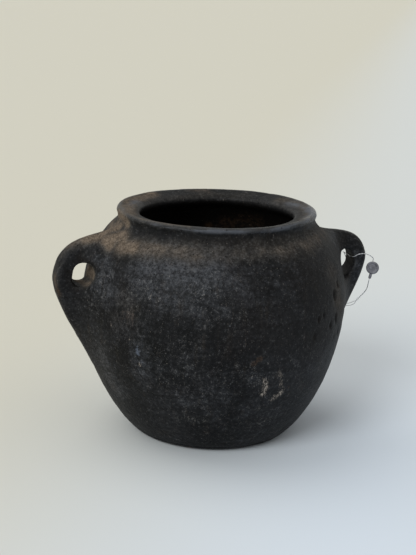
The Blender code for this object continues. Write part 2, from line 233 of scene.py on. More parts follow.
# Dark pits in the clay: place, half width, half height and depth, in millimetres
PITS = (
    ((87, -72, 144), 1.6, 3.8, 1.8), ((81, -80, 137), 2.6, 5.5, 2.2),
    ((60, -99, 123), 1.5, 3.0, 1.7), ((66, -95, 125), 1.2, 2.4, 1.3),
    ((76, -87, 113), 1.9, 3.0, 2.0), ((84, -79, 117), 1.9, 4.6, 2.0),
    ((90, -71, 102), 1.7, 4.0, 1.6), ((56, -101, 109), 2.0, 3.2, 1.2),
)


def ring(radius, height, first=0, last=360, steps=48):
    """Points of a level ring round the pot's axis, between two angles in degrees."""
    turns = [math.radians(first + (last - first) * i / steps) for i in range(steps + 1)]
    return tuple((radius * math.cos(turn), radius * math.sin(turn), height) for turn in turns)


def slit(place, half_height):
    """A short upright line through a place."""
    x, y, z = place
    return (x, y, z - half_height / 2), (x, y, z + half_height / 2)


# Marks painted on the clay: the line they follow, their reach (both in millimetres) and their strength
MARKS = {
    # Polish on the lip, which lowers its roughness, and a painted highlight: the lip's bluish reflection
    # painted into its colour
    "polish_and_painted_highlight": (
        (ring(86.6, 198, -146, -18), 2.4, 0.8),
        (((76, 14, 199), (80, -16, 200), (75, -40, 199), (62, -58, 199)), 7, 0.95),
        (((-80, 2, 199), (-76, 18, 199), (-60, 42, 198)), 6, 0.75),
    ),
    # Painted shade in the pits
    "pit_shade": tuple((slit(place, tall), 1.2 * wide, 1.0) for place, wide, tall, _ in PITS),
    # Painted shade, partly sooted clay: the cove under the lip, round the left ear's hole, and over the middle
    # and right of the belly
    "soot_and_shade": (
        (ring(85.5, 190.5, -126, 150), 4.5, 0.6),
        (((-123.5, -10.2, 161.3), (-112.8, -20.3, 155.5)), 6, 0.8),
        (((-132.1, -10.5, 149), (-127.1, -11.1, 137.2)), 6, 0.8),
        (((-7, -116, 124), (29, -112.5, 120)), 30, 0.5),
        (((-8, -109, 149),), 26, 0.35),
        (((50, -98, 155), (75, -85, 132), (62, -97, 105)), 32, 0.55),
    ),
    "dust": (
        (((-89.6, -5, 185.6), (-95.4, 0, 183.8), (-105.5, -6.3, 179.5), (-117.6, -2.3, 177.4)), 11, 0.9),
        (((-117.6, -2.3, 177.4), (-130.3, -1.5, 171.7)), 9, 0.72),
        (((-130.3, -1.5, 171.7), (-137, -4, 164)), 6, 0.45),
        (((-88, 4, 187), (-93, 12, 183), (-89, 24, 184)), 13, 0.7),
        (((-89.9, -20.8, 182.3), (-100.2, -13.5, 177.5), (-98.5, -21, 174.1)), 11, 0.92),
        (((-89.9, -20.8, 182.3), (-92.3, -32.0, 176), (-86, -45, 178)), 13, 0.85),
        (((-86, -45, 178), (-69.3, -66.6, 179.5)), 14, 0.66),
        (((-69.3, -66.6, 180), (-41.3, -85.9, 180)), 14, 0.58),
        (((-41.3, -85.9, 180.5), (-10.1, -93.7, 181), (25.8, -89.9, 181.5)), 14, 0.48),
        (((25.8, -89.9, 181.5), (59.4, -72.2, 182), (82, -42, 181)), 14, 0.56),
        (((-80, -8, 199), (-78, 11, 199), (-68, 42, 200), (-40, 68, 200)), 13, 0.78),
        (((-82, -16, 200), (-76, -36, 200), (-62, -57, 200), (-46, -70, 200)), 3.5, 0.7),
        (((70, 29, 198), (78, 8, 199)), 11, 0.55),
        (((78, 8, 199), (78, -12.5, 199), (71, -42, 200), (56, -60, 199)), 11, 0.58),
        (((-40, 62, 196), (14.7, 72, 196.4), (50, 56, 196)), 9, 0.34),
        (((0, 82, 200), (14, 80, 200)), 9, 0.52),
        (((-86, 10, 196), (-87, -6, 196), (-86, -18, 192)), 8, 0.9),
        (((-112, -14, 148), (-111, 9, 146)), 9, 0.95),
        (((-116, -12, 139), (-122, 8, 138)), 8, 0.8),
        (((82, -42, 181), (92, -22, 181), (98, -6, 181)), 11, 0.55),
        (((112, -30, 142), (107, -44, 131), (100, -55, 122)), 14, 0.42),
        (((-98.5, -58.1, 137.5), (-93.1, -67.4, 132.2), (-92.1, -70.7, 119.5)), 16, 0.27),
        (((-101.3, -56.6, 121.8),), 16, 0.26),
        (((80, -75, 156), (86, -74, 144), (86, -76, 132), (93, -69, 122)), 16, 0.5),
        (((-106.9, -31.3, 77.2), (-95.8, -37.0, 51.2)), 16, 0.26),
        (((-60, 74, 179), (-10, 93, 180), (40, 84, 181)), 13, 0.5),
        (((70, 60, 180), (92, 22, 178)), 13, 0.5),
        (((-40, 104, 130),), 18, 0.35),
    ),
    "silt": (
        (((0, 0, 10),), 62, 1.0),
        (((30, 20, 10), (60, 50, 40), (70, 60, 90)), 30, 0.7),
    ),
    # Blue-grey bloom, partly a painted sheen: lighter bluish grey over the upper front, the right ear and its
    # strap
    "bloom_and_painted_sheen": (
        (((-77.8, -67.6, 163), (-57.4, -84.4, 163), (-38, -93, 163)), 26, 0.9),
        (((-38, -93, 163), (-12.5, -101.9, 160)), 24, 0.55),
        (((-12.5, -101.9, 160), (30, -100, 160)), 22, 0.4),
        (((-109.1, -22.7, 161.2), (-107.1, -33, 152.5)), 16, 0.66),
        (((-110.9, -31.5, 143.6), (-105.4, -44.5, 138.3)), 18, 0.6),
        (((104.7, -8.9, 175), (100, -24, 170)), 11, 0.6),
        (((-69.5, -83.9, 150), (-40.0, -107.0, 142)), 22, 0.6),
        (((-7.8, -114.3, 92.6), (0.2, -112.5, 81.0)), 12, 0.32),
        (((66.4, -87.7, 82), (88, -62, 92)), 20, 0.3),
        (((-40, -96, 60), (10, -105, 52)), 30, 0.26),
        (((-88, -72, 118), (-78, -80, 85)), 24, 0.42),
        (((-106.9, -31.3, 77.2), (-95.8, -37.0, 51.2)), 18, 0.45),
        (((-50, 96, 150), (30, 104, 150)), 30, 0.7),
        (((80, 80, 110),), 30, 0.5),
        (((137, -11, 151), (136, -11, 136)), 9, 0.6),
    ),
    "scorch": (
        (((6, 80, 199), (16, 78, 198)), 9, 0.3),
        (((92, -67, 142), (90, -72, 128)), 4.5, 0.3),
        (((-95.0, -64.9, 126),), 12, 0.35),
        (((4.0, -115.3, 98.5), (-1, -115, 94)), 4, 0.6),
        (((35.4, -102.4, 66.7),), 2.2, 0.5),
        (((-37.0, -59.6, 1.9),), 3.5, 1.0),
        (((-143, -4, 146), (-142.3, -5, 139), (-140, -6, 131)), 5, 0.62),
        (((39.7, 84.6, 163), (59.7, 65.1, 170)), 17, 0.5),
        (((23.8, 93.9, 160.6),), 6, 0.8),
        (((40, 106, 120),), 24, 0.4),
        (((-70, 90, 100),), 22, 0.35),
    ),
    "scuff": (
        (((10.6, -110.7, 77.8), (13, -108.7, 71.7), (11, -106.3, 64)), 3.7, 0.86),
        (((23.9, -109.5, 83.3), (26.1, -107, 75.3), (27.8, -103.7, 66)), 2.9, 0.7),
        (((29.3, -102.5, 63.7), (25.2, -102, 60), (21.6, -102, 57.9)), 4.4, 0.74),
        (((-93.1, -69.2, 106.7),), 1.7, 1.0),
        (((-85.6, -75.6, 88.5), (-85.0, -74.6, 85)), 1.8, 0.7),
        (((-68.9, -87.1, 150.5),), 1.6, 0.85),
        (((-75.4, -80.5, 152.3),), 1.4, 0.75),
        (((-79.6, -78.7, 148.1), (-80.2, -79.7, 143.4)), 1.4, 0.6),
        (((-109.5, -33.6, 136.9),), 1.6, 0.7),
        (((-104.7, -50.6, 114.1),), 1.6, 0.6),
        (((-59.5, -37.3, 1.4), (-50.4, -49.8, 1.6), (-44, -56, 1.4)), 3.0, 0.55),
        (((60, 98, 110), (62, 97, 101)), 2.4, 0.7),
        (((-88, 70, 70), (-84, 72, 64)), 2.4, 0.7),
        (((100, 40, 80),), 2.6, 0.6),
    ),
    "smear": (
        (((-88.9, -75.8, 100.3), (-88, -76, 96)), 3.2, 0.85),
        (((-85.5, -76.4, 88),), 3.0, 0.7),
    ),
    "scratch": (
        (((-56.0, -78.8, 38.2), (-49.3, -85.1, 41.8), (-41.2, -87.6, 38.5), (-33.8, -91.6, 40.3)), 4, 0.9),
        (((7.3, -101.5, 49.3), (16.4, -100.8, 50.0)), 2.5, 0.8),
        (((5.3, -91.8, 29.6), (16.1, -91.4, 31.1), (22.8, -92.4, 35.4), (29.7, -92.6, 39.4)), 3.5, 1.0),
        (((-60, 70, 50), (-30, 90, 60)), 5, 0.8),
    ),
    "speckle": (
        (((-34.8, -101.7, 159.5), (-42.2, -101.7, 153.3), (-40.0, -107.0, 138.0)), 13, 0.8),
        (((-22.3, -107.6, 153.8), (-16.5, -111.6, 143.8), (-15.2, -114.2, 130.3)), 13, 0.7),
        (((-80, -79, 150), (-95, -66, 140)), 15, 0.6),
        (((-107, -33, 152), (-110, -32, 140), (-116, -26, 129)), 13, 0.7),
        (((-9.3, -113.9, 90.8), (5.3, -110.8, 76.6)), 9, 0.8),
        (((-60, -92, 90), (-40, -100, 70)), 26, 0.45),
        (((20, -108, 100), (60, -94, 100)), 24, 0.4),
        (((30, 106, 140), (-60, 92, 130)), 24, 0.6),
        (((104, 40, 110),), 26, 0.5),
    ),
}
VALUES = ("convexity", "inside", *MARKS)
MARK_CORE = 0.1
MARK_FADE = 1.4


class Ear(NamedTuple):
    """The sizes by which one ear differs from the other."""

    name: str
    node: str
    turn: float
    reach: float
    nose_rise: float
    nose_up: float
    nose_down: float
    top_drop: float
    top_run: float
    top_fall: float
    foot_run: float
    foot_rise: float
    hole_rise: float
    hole_sink: float
    hole_half_width: float
    hole_half_height: float
    hole_squareness: float
    hole_lean: float
    hole_turn: float
    hole_splay: float


EARS = (
    Ear(
        "right_ear", "right_handle", turn=0.0, reach=25.4 * MM, nose_rise=38.4 * MM, nose_up=34.1 * MM,
        nose_down=25.6 * MM, top_drop=16.2 * MM, top_run=17.4 * MM, top_fall=14.5 * MM, foot_run=12.9 * MM,
        foot_rise=33.6 * MM, hole_rise=35.4 * MM, hole_sink=4 * MM, hole_half_width=10.6 * MM,
        hole_half_height=11.4 * MM, hole_squareness=2.3, hole_lean=0.0, hole_turn=0.0,
        hole_splay=math.tan(math.radians(8)),
    ),
    Ear(
        "left_ear", "left_handle", turn=math.pi, reach=27.4 * MM, nose_rise=28.8 * MM, nose_up=42.4 * MM,
        nose_down=19.6 * MM, top_drop=12.2 * MM, top_run=19.7 * MM, top_fall=10.8 * MM, foot_run=14.3 * MM,
        foot_rise=31.5 * MM, hole_rise=35.6 * MM, hole_sink=1.5 * MM, hole_half_width=8.9 * MM,
        hole_half_height=10.0 * MM, hole_squareness=2.8, hole_lean=-0.14, hole_turn=math.radians(-5.5),
        hole_splay=0.0,
    ),
)


class PotForm(bpy.types.PropertyGroup):
    """Sizes of the clay pot"""

    height: FloatProperty(
        name="Height", description="From the ground to the top of the lip",
        default=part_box("rim_collar")[1].z, unit="LENGTH",
    )
    belly_radius: FloatProperty(
        name="Belly radius", description="Radius at the widest place",
        default=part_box("belly_wall")[1].x, unit="LENGTH",
    )
    lip_radius: FloatProperty(
        name="Lip radius", description="Radius at the edge of the lip",
        default=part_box("rim_collar")[1].x, unit="LENGTH",
    )
    wall: FloatProperty(name="Wall", description="Thickness of the wall", default=9 * MM, unit="LENGTH")
    fineness: FloatProperty(
        name="Fineness", description="Width of one cell of the clay's skin", default=1.25 * MM, unit="LENGTH",
    )
    unevenness: FloatProperty(
        name="Unevenness", description="How far the hand-formed wall strays", default=0.9 * MM, unit="LENGTH",
    )
    lean: FloatProperty(
        name="Lean", description="How far the belly leans to one side", default=1.5 * MM, unit="LENGTH",
    )
    root_passes: IntProperty(
        name="Root smoothing", description="Strokes that smooth each ear's root into the wall", default=60,
    )


class ClayFinish(bpy.types.PropertyGroup):
    """Colours of the fired clay"""

    # The blackest clay, which is also the colour of the painted shade in the hollows
    soot_and_shade: FloatVectorProperty(
        name="Soot", description="The blackest clay", subtype="COLOR", default=(0.0042, 0.0045, 0.0052),
    )
    ash: FloatVectorProperty(
        name="Ash", description="Charcoal clay", subtype="COLOR", default=(0.0125, 0.013, 0.0145),
    )
    # The colour of the bloom, which is partly a painted sheen, and of worn edges
    slate: FloatVectorProperty(
        name="Slate", description="Blue-grey bloom", subtype="COLOR", default=(0.040, 0.043, 0.049),
    )
    umber: FloatVectorProperty(
        name="Umber", description="Brown run-offs", subtype="COLOR", default=(0.045, 0.034, 0.024),
    )
    dust: FloatVectorProperty(
        name="Dust", description="Tan dust", subtype="COLOR", default=(0.20, 0.158, 0.12),
    )
    haze: FloatVectorProperty(
        name="Haze", description="Thin grey dust", subtype="COLOR", default=(0.085, 0.081, 0.075),
    )
    ember: FloatVectorProperty(
        name="Ember", description="Reddish clay that the smoke missed", subtype="COLOR",
        default=(0.085, 0.048, 0.025),
    )
    fleck: FloatVectorProperty(
        name="Fleck", description="Pale grit in the clay", subtype="COLOR", default=(0.15, 0.145, 0.135),
    )
    chalk: FloatVectorProperty(
        name="Chalk", description="Pale scuffs", subtype="COLOR", default=(0.36, 0.315, 0.27),
    )
    smear: FloatVectorProperty(
        name="Smear", description="Bluish smears of lime", subtype="COLOR", default=(0.13, 0.155, 0.205),
    )
    # A painted highlight: the colour given to the lip's bluish reflection
    painted_sheen: FloatVectorProperty(
        name="Sheen", description="Bluish rubbed parts of the lip", subtype="COLOR",
        default=(0.078, 0.086, 0.102),
    )
    # Also the colour of the painted shade under the lip, round the left ear's hole, on the belly and in the
    # pits
    hollow: FloatVectorProperty(
        name="Hollow", description="The sooted inside", subtype="COLOR", default=(0.006, 0.0048, 0.004),
    )
    gloss: FloatProperty(
        name="Gloss", description="Specular level of the clay", subtype="FACTOR", default=0.1, min=0, max=1,
    )
    roughness: FloatProperty(
        name="Roughness", description="Roughness of the plain wall", subtype="FACTOR",
        default=0.55, min=0, max=1,
    )


class SealFinish(bpy.types.PropertyGroup):
    """Sizes and colours of the wire and the seal"""

    strand: FloatProperty(
        name="Strand", description="Radius of one of the wire's two strands",
        default=0.22 * MM, unit="LENGTH",
    )
    twist: FloatProperty(
        name="Twist", description="Length of one turn of the two strands", default=5.5 * MM, unit="LENGTH",
    )
    spread: FloatProperty(
        name="Spread", description="How far the strands part below the ear", default=1.0 * MM, unit="LENGTH",
    )
    seal_radius: FloatProperty(
        name="Seal radius", description="Radius of the lead disc", default=5.8 * MM, unit="LENGTH",
    )
    seal_thickness: FloatProperty(
        name="Seal thickness", description="Thickness of the disc's edge", default=3.6 * MM, unit="LENGTH",
    )
    steel: FloatVectorProperty(
        name="Steel", description="Dull galvanised wire", subtype="COLOR", default=(0.66, 0.66, 0.68),
    )
    lead: FloatVectorProperty(
        name="Lead", description="Bare lead", subtype="COLOR", default=(0.105, 0.107, 0.122),
    )
    oxide: FloatVectorProperty(
        name="Oxide", description="Pale skin on old lead", subtype="COLOR", default=(0.19, 0.192, 0.215),
    )


class StageLook(bpy.types.PropertyGroup):
    """Colours and light of the stage"""

    # Painted light: the floor's yellowish and bluish tints stand for the colours of two lamps
    warm_light_tint: FloatVectorProperty(
        name="Warm side", description="Colour of the floor far left", subtype="COLOR",
        default=(0.672, 0.65, 0.54),
    )
    cool_light_tint: FloatVectorProperty(
        name="Cool side", description="Colour of the floor near right", subtype="COLOR",
        default=(0.70, 0.785, 0.885),
    )
    sky: FloatProperty(name="Sky", description="Strength of the even light", default=0.53, min=0)
    front: FloatProperty(
        name="Front light", description="Strength of the light from front left", default=1.5, min=0,
    )
    back: FloatProperty(
        name="Back light", description="Strength of the light from back left", default=0.68, min=0,
    )


# Lines and shells


def bezier(start, start_pull, end_pull, end, steps):
    """Points on a cubic curve, both ends included."""
    t = np.linspace(0, 1, steps + 1)[:, None]
    a, b, c, d = (np.asarray(p, float) for p in (start, start_pull, end_pull, end))
    return (1 - t) ** 3 * a + 3 * t * (1 - t) ** 2 * b + 3 * t * t * (1 - t) * c + t ** 3 * d


def arc(centre, radius, first, last, steps=40):
    """Points on a circular arc in the profile plane, between two angles in degrees."""
    angle = np.radians(np.linspace(first, last, steps + 1))
    return np.stack([centre[0] + radius * np.cos(angle), centre[1] + radius * np.sin(angle)], axis=1)


def resample(line, spacing):
    """The same line with its points evenly spaced."""
    run = np.concatenate([[0], np.cumsum(np.linalg.norm(np.diff(line, axis=0), axis=1))])
    at = np.linspace(0, run[-1], int(run[-1] / spacing) + 2)
    return np.stack([np.interp(at, run, column) for column in line.T], axis=1)


def offset(line, distance):
    """A profile moved along its normals. A positive distance moves it outwards."""
    along = np.gradient(line, axis=0)
    normal = np.stack([along[:, 1], -along[:, 0]], axis=1)
    return line + distance * normal / np.linalg.norm(normal, axis=1)[:, None]


def rounded(line, corner, reach, passes):
    """A line eased around one of its corners."""
    line = line.copy()
    share = np.clip(1 - np.linalg.norm(line - corner, axis=1) / reach, 0, 1)[:, None]
    for _ in range(passes):
        middle = (line[:-2] + line[2:]) / 2
        line[1:-1] += share[1:-1] * (middle - line[1:-1]) / 2
    return line


def smooth_share(value, low, high):
    """0 below low, 1 above high and an S-curve between them."""
    t = np.clip((value - low) / (high - low), 0, 1)
    return t * t * (3 - 2 * t)


def outer_face(form):
    """The wall's outer face from the foot over the belly to the neck, as radius and height."""
    foot_pull = (
        BASE_RADIUS + FOOT_SWELL * math.cos(FOOT_ANGLE),
        FOOT_SWELL * math.sin(FOOT_ANGLE),
    )
    belly = (form.belly_radius, BELLY_HEIGHT)
    neck = (NECK_RADIUS, form.height - NECK_DROP)
    neck_pull = (
        neck[0] + SHOULDER_RUN * math.cos(SHOULDER_SLOPE),
        neck[1] - SHOULDER_RUN * math.sin(SHOULDER_SLOPE),
    )
    lower = bezier((BASE_RADIUS, 0), foot_pull, (belly[0], belly[1] - LOWER_FULLNESS), belly, FACE_STEPS)
    upper = bezier(belly, (belly[0], belly[1] + SHOULDER_FULLNESS), neck_pull, neck, FACE_STEPS)
    return np.concatenate([lower, upper[1:]])


def pot_outline(form):
    """The pot's whole section from the middle of its foot, over the lip, to the middle of its floor.

    The second value is the point at which the inside begins.
    """
    outer = outer_face(form)
    inner = offset(outer, -form.wall)
    inner = inner[inner[:, 1] >= FLOOR][::-1]
    lip = arc((form.lip_radius - LIP_ROUND, form.height - LIP_ROUND), LIP_ROUND, *LIP_SWEEP)
    throat = arc((THROAT_RADIUS + THROAT_ROUND, form.height - THROAT_DROP), THROAT_ROUND, *THROAT_SWEEP)
    middle_low, middle_high = np.array([[0, 0]]), np.array([[0, FLOOR]])
    line = resample(np.concatenate([middle_low, outer, lip, throat, inner, middle_high]), EASING_STEP)
    for corner, easing in (
        (outer[-1], NECK_EASING), (lip[-1], LIP_EASING), (throat[-1], THROAT_EASING),
        (inner[0], INSIDE_EASING), (inner[-1], FLOOR_EASING), (outer[0], FOOT_EASING),
    ):
        line = rounded(line, corner, *easing)
    line = resample(line, OUTLINE_STEP)
    in_mouth = line[:, 1] > form.height - MOUTH_DEPTH
    inner_from = int(np.argmin(np.where(in_mouth, line[:, 0], np.inf)))
    groove = np.exp(-(((line[:, 1] - FOOT_LINE) / (FOOT_LINE_WIDTH / 2)) ** 2))
    groove[inner_from:] = 0
    groove[line[:, 0] < BASE_RADIUS] = 0
    line[:, 0] -= FOOT_LINE_DEPTH * groove
    return line, inner_from


def spin_shell(outline, steps):
    """A shell turned about Z from an outline that starts and ends on the axis."""
    shape = bmesh.new()
    knots = [shape.verts.new((radius, 0, height)) for radius, height in outline]
    edges = [shape.edges.new(pair) for pair in zip(knots, knots[1:])]
    bmesh.ops.spin(
        shape, geom=knots + edges, axis=(0, 0, 1), cent=(0, 0, 0),
        angle=math.tau, steps=steps, use_merge=True,
    )
    bmesh.ops.remove_doubles(shape, verts=shape.verts, dist=SPIN_WELD)
    bmesh.ops.recalc_face_normals(shape, faces=shape.faces)
    return shape


def link(name, data):
    """Adds an object for some data to the scene."""
    made = bpy.data.objects.new(name, data)
    bpy.context.scene.collection.objects.link(made)
    return made


def add_piece(name, shape):
    """Turns a bmesh into an object with its place in its mesh, and frees the bmesh."""
    mesh = bpy.data.meshes.new(name)
    shape.to_mesh(mesh)
    shape.free()
    return link(name, mesh)


def drop(*pieces):
    """Removes helpers that have done their work."""
    for piece in pieces:
        mesh = piece.data
        bpy.data.objects.remove(piece)
        bpy.data.meshes.remove(mesh)


def settle(piece):
    """Applies a piece's modifiers to its own mesh."""
    graph = bpy.context.evaluated_depsgraph_get()
    made = bpy.data.meshes.new_from_object(piece.evaluated_get(graph))
    before = piece.data
    piece.modifiers.clear()
    piece.data = made
    bpy.data.meshes.remove(before)
    made.name = piece.name


def carve(piece, tool, operation):
    """Cuts a piece with a tool, and stops if nothing closed is left."""
    cutter = piece.modifiers.new("carve", "BOOLEAN")
    cutter.operation = operation
    cutter.solver = "MANIFOLD"
    cutter.object = tool
    settle(piece)
    sides = np.empty(len(piece.data.loops), np.int32)
    piece.data.loops.foreach_get("edge_index", sides)
    if len(sides) == 0 or np.any(np.bincount(sides, minlength=len(piece.data.edges)) != 2):
        raise RuntimeError(f"{piece.name} isn't a closed piece after {tool.name} cut it")


def skin_over(piece, cell):
    """Gives a heap of shells one skin of even cells."""
    skin = piece.modifiers.new("one_skin", "REMESH")
    skin.mode = "VOXEL"
    skin.voxel_size = cell
    settle(piece)


def smooth_over(piece, passes, group=""):
    """Smooths a piece, by the shares of a vertex group where one is named."""
    stroke = piece.modifiers.new("strokes", "SMOOTH")
    stroke.factor = 0.5
    stroke.iterations = passes
    stroke.vertex_group = group
    settle(piece)


def split_off(source, tool, name):
    """Takes the part of the source that lies in the tool as a piece of its own."""
    piece = link(name, source.data.copy())
    carve(piece, tool, "INTERSECT")
    carve(source, tool, "DIFFERENCE")
    return piece


def read_vectors(mesh, kind):
    """The places (co) or the normals (normal) of a mesh's points."""
    values = np.empty(len(mesh.vertices) * 3, np.float32)
    mesh.vertices.foreach_get(kind, values)
    return values.reshape(-1, 3).astype(float)


def write_points(mesh, points):
    """Moves a mesh's points to new places."""
    mesh.vertices.foreach_set("co", points.astype(np.float32).ravel())
    mesh.update()


def waves_at(points, waves, shift):
    """Smooth noise at each point, with so many waves per metre and moved by a shift."""
    return np.array([noise.noise(place) for place in (points * waves + shift).tolist()])


def dress(mesh, material):
    """Gives a mesh its one material, and shades it smooth but for its sharp edges."""
    mesh.materials.clear()
    mesh.materials.append(material)
    mesh.shade_smooth()
    mesh.set_sharp_from_angle(angle=SHARP_EDGE)


def neighbour_mean(mesh, values, passes=1):
    """Each point's value averaged with its neighbours', a few times over."""
    pairs = np.empty(len(mesh.edges) * 2, np.int32)
    mesh.edges.foreach_get("vertices", pairs)
    first, second = pairs.reshape(-1, 2).T
    count = len(mesh.vertices)
    ends = np.concatenate([first, second])
    others = np.concatenate([second, first])
    share = np.maximum(np.bincount(ends, minlength=count), 1)
    columns = values.reshape(count, -1).copy()
    for _ in range(passes):
        for k in range(columns.shape[1]):
            columns[:, k] = np.bincount(ends, weights=columns[others, k], minlength=count) / share
    return columns.reshape(values.shape)


# The clay


def ear_edges(ear, form, steps=48):
    """The ear's upper and lower edges in the XZ plane, from their roots to the nose."""
    nose = np.array((form.belly_radius + ear.reach, 0, BELLY_HEIGHT + ear.nose_rise))
    top = np.array((EAR_TOP_RADIUS, 0, form.height - ear.top_drop))
    foot = np.array((form.belly_radius - EAR_FOOT_SINK, 0, BELLY_HEIGHT - EAR_FOOT_DROP))
    up, out = np.array((0, 0, 1)), np.array((1, 0, 0))
    top_pull = top + ear.top_run * out - ear.top_fall * up
    upper = bezier(top, top_pull, nose + ear.nose_up * up, nose, steps)
    foot_pull = foot + ear.foot_run * out + ear.foot_rise * up
    lower = bezier(foot, foot_pull, nose - ear.nose_down * up, nose, steps)
    return upper, lower


def root_spread(points, half_width, spread, form):
    """How far the ear reaches to either side at its points: a round hollow leads it into the wall."""
    outer = outer_face(form)
    wall = np.interp(points[:, 2], outer[:, 1], outer[:, 0])
    along = np.gradient(outer, axis=0)
    steep = np.interp(points[:, 2], outer[:, 1], along[:, 1] / np.linalg.norm(along, axis=1))
    low, high = np.zeros(len(points)), np.full(len(points), EAR_SPREAD_LIMIT)
    for _ in range(EAR_SPREAD_HALVINGS):
        middle = (low + high) / 2
        away = (np.hypot(points[:, 0], middle) - wall) * steep
        close = np.clip(1 - away / EAR_SPREAD_REACH, 0, 1)
        wider = half_width + spread * (1 - np.sqrt(1 - close ** 2)) > middle
        low, high = np.where(wider, middle, low), np.where(wider, high, middle)
    return low


def ear_section(ear, top, bottom, half_width, form, points=56):
    """A rounded upright section of the ear between two points of its edges."""
    angle = np.linspace(0, math.tau, points, endpoint=False)
    power = 2 / EAR_SQUARENESS
    across = np.sign(np.cos(angle)) * np.abs(np.cos(angle)) ** power
    upward = np.sign(np.sin(angle)) * np.abs(np.sin(angle)) ** power
    section = (top + bottom) / 2 + upward[:, None] * (top - bottom) / 2
    front = across * math.cos(ear.turn) < 0
    edge_fade = np.sqrt(np.clip(1 - upward ** 8, 0, 1))
    foot_fade = 1 - EAR_FOOT_FADE * smooth_share(-upward, 0.3, 1.0)
    spread = np.where(front, EAR_SPREAD, EAR_BACK_SPREAD) * edge_fade * foot_fade
    section[:, 1] += np.sign(across) * root_spread(section, np.abs(across) * half_width, spread, form)
    return section


def loft_ear(ear, form, skirt=0.0):
    """The ear before its hole is cut. A skirt makes it larger all round."""
    shape = bmesh.new()
    loops = []
    upper, lower = ear_edges(ear, form)
    last = len(upper) - 1
    for i in range(last):
        half_width = EAR_HALF_WIDTH - EAR_NOSE_TAPER * (i / last) ** 4
        knots = [shape.verts.new(p) for p in ear_section(ear, upper[i], lower[i], half_width, form)]
        loops.append([shape.edges.new(pair) for pair in zip(knots, knots[1:] + knots[:1])])
    for near, far in zip(loops, loops[1:]):
        bmesh.ops.bridge_loops(shape, edges=near + far)
    bmesh.ops.contextual_create(shape, geom=loops[0])
    bmesh.ops.contextual_create(shape, geom=loops[-1])
    bmesh.ops.recalc_face_normals(shape, faces=shape.faces)
    if skirt:
        shape.normal_update()
        for knot in shape.verts:
            knot.co += knot.normal * skirt
        cut = bmesh.ops.bisect_plane(
            shape, geom=shape.verts[:] + shape.edges[:] + shape.faces[:],
            plane_co=(0, 0, EAR_TOP_LIMIT), plane_no=(0, 0, 1), clear_outer=True,
        )
        rim = [g for g in cut["geom_cut"] if isinstance(g, bmesh.types.BMEdge)]
        if rim:
            bmesh.ops.triangle_fill(shape, edges=rim, use_beauty=True)
            bmesh.ops.recalc_face_normals(shape, faces=shape.faces)
    bmesh.ops.rotate(shape, verts=shape.verts, cent=(0, 0, 0), matrix=Matrix.Rotation(ear.turn, 3, "Z"))
    return shape


def ear_hole(ear, form):
    """The tool for the ear's hole: a long rounded bar lying along Y, a little turned and leaning."""
    shape = bmesh.new()
    bmesh.ops.create_cone(
        shape, cap_ends=True, segments=64, radius1=1, radius2=1, depth=2 * HOLE_HALF_LENGTH,
    )
    for knot in shape.verts:
        square = (abs(knot.co.x) ** ear.hole_squareness + abs(knot.co.y) ** ear.hole_squareness)
        knot.co.xy /= square ** (1 / ear.hole_squareness)
        knot.co.x = knot.co.x * ear.hole_half_width + ear.hole_lean * knot.co.y * ear.hole_half_height
        knot.co.y *= ear.hole_half_height
        if knot.co.x < 0:
            knot.co.x += ear.hole_splay * knot.co.z * knot.co.x / ear.hole_half_width
    outer = outer_face(form)
    height = BELLY_HEIGHT + ear.hole_rise
    wall = np.interp(height, outer[:, 1], outer[:, 0])
    middle = Matrix.Translation((wall - ear.hole_sink + ear.hole_half_width, 0, height))
    lay_down = Matrix.Rotation(ear.hole_turn, 4, "Z") @ Matrix.Rotation(math.pi / 2, 4, "X")
    side = Matrix.Rotation(ear.turn, 4, "Z")
    bmesh.ops.transform(shape, matrix=side @ middle @ lay_down, verts=shape.verts)
    return add_piece("ear_hole", shape)


def pot_core(form, depth):
    """A solid that fills the pot to a depth below its outer face."""
    skin = offset(outer_face(form), -depth)[::CORE_SKIP]
    low, high = np.array([[0, skin[0, 1]]]), np.array([[0, skin[-1, 1]]])
    return add_piece("pot_core", spin_shell(np.concatenate([low, skin, high]), CORE_STEPS))


def gather_clay(form, outline):
    """The turned wall and both ears as one skin of even cells. Also gives the ears by themselves."""
    heap = spin_shell(np.concatenate([outline[:-1:WALL_SKIP], outline[-1:]]), WALL_STEPS)
    core = pot_core(form, EAR_SET_IN)
    trees = []
    for ear in EARS:
        handle = add_piece(ear.name, loft_ear(ear, form))
        hole = ear_hole(ear, form)
        carve(handle, hole, "DIFFERENCE")
        carve(handle, core, "DIFFERENCE")
        heap.from_mesh(handle.data)
        trees.append(BVHTree.FromObject(handle, bpy.context.evaluated_depsgraph_get()))
        drop(hole, handle)
    drop(core)
    clay = add_piece("raw_clay", heap)
    skin_over(clay, form.fineness)
    return clay, trees


def ear_distance(points, trees):
    """Each point's distance from the ear on its side, up to a limit."""
    away = np.full(len(points), EAR_FAR)
    beside = (np.abs(points[:, 0]) > EAR_ZONE_FROM) & (np.abs(points[:, 1]) < EAR_ZONE_HALF_WIDTH)
    for i in np.nonzero(beside)[0]:
        tree = trees[0] if points[i, 0] > 0 else trees[1]
        away[i] = min(away[i], tree.find_nearest(points[i])[3])
    return away


def nearest_on_outline(points, outline):
    """For each point, the nearest point of the turned section, and its distance from it."""
    tree = kdtree.KDTree(len(outline))
    for i, (radius, height) in enumerate(outline):
        tree.insert((radius, height, 0), i)
    tree.balance()
    radii = np.hypot(points[:, 0], points[:, 1])
    found = [tree.find((radius, height, 0))[1:] for radius, height in zip(radii, points[:, 2])]
    index = np.array([f[0] for f in found])
    gap = np.array([f[1] for f in found])
    return index, gap


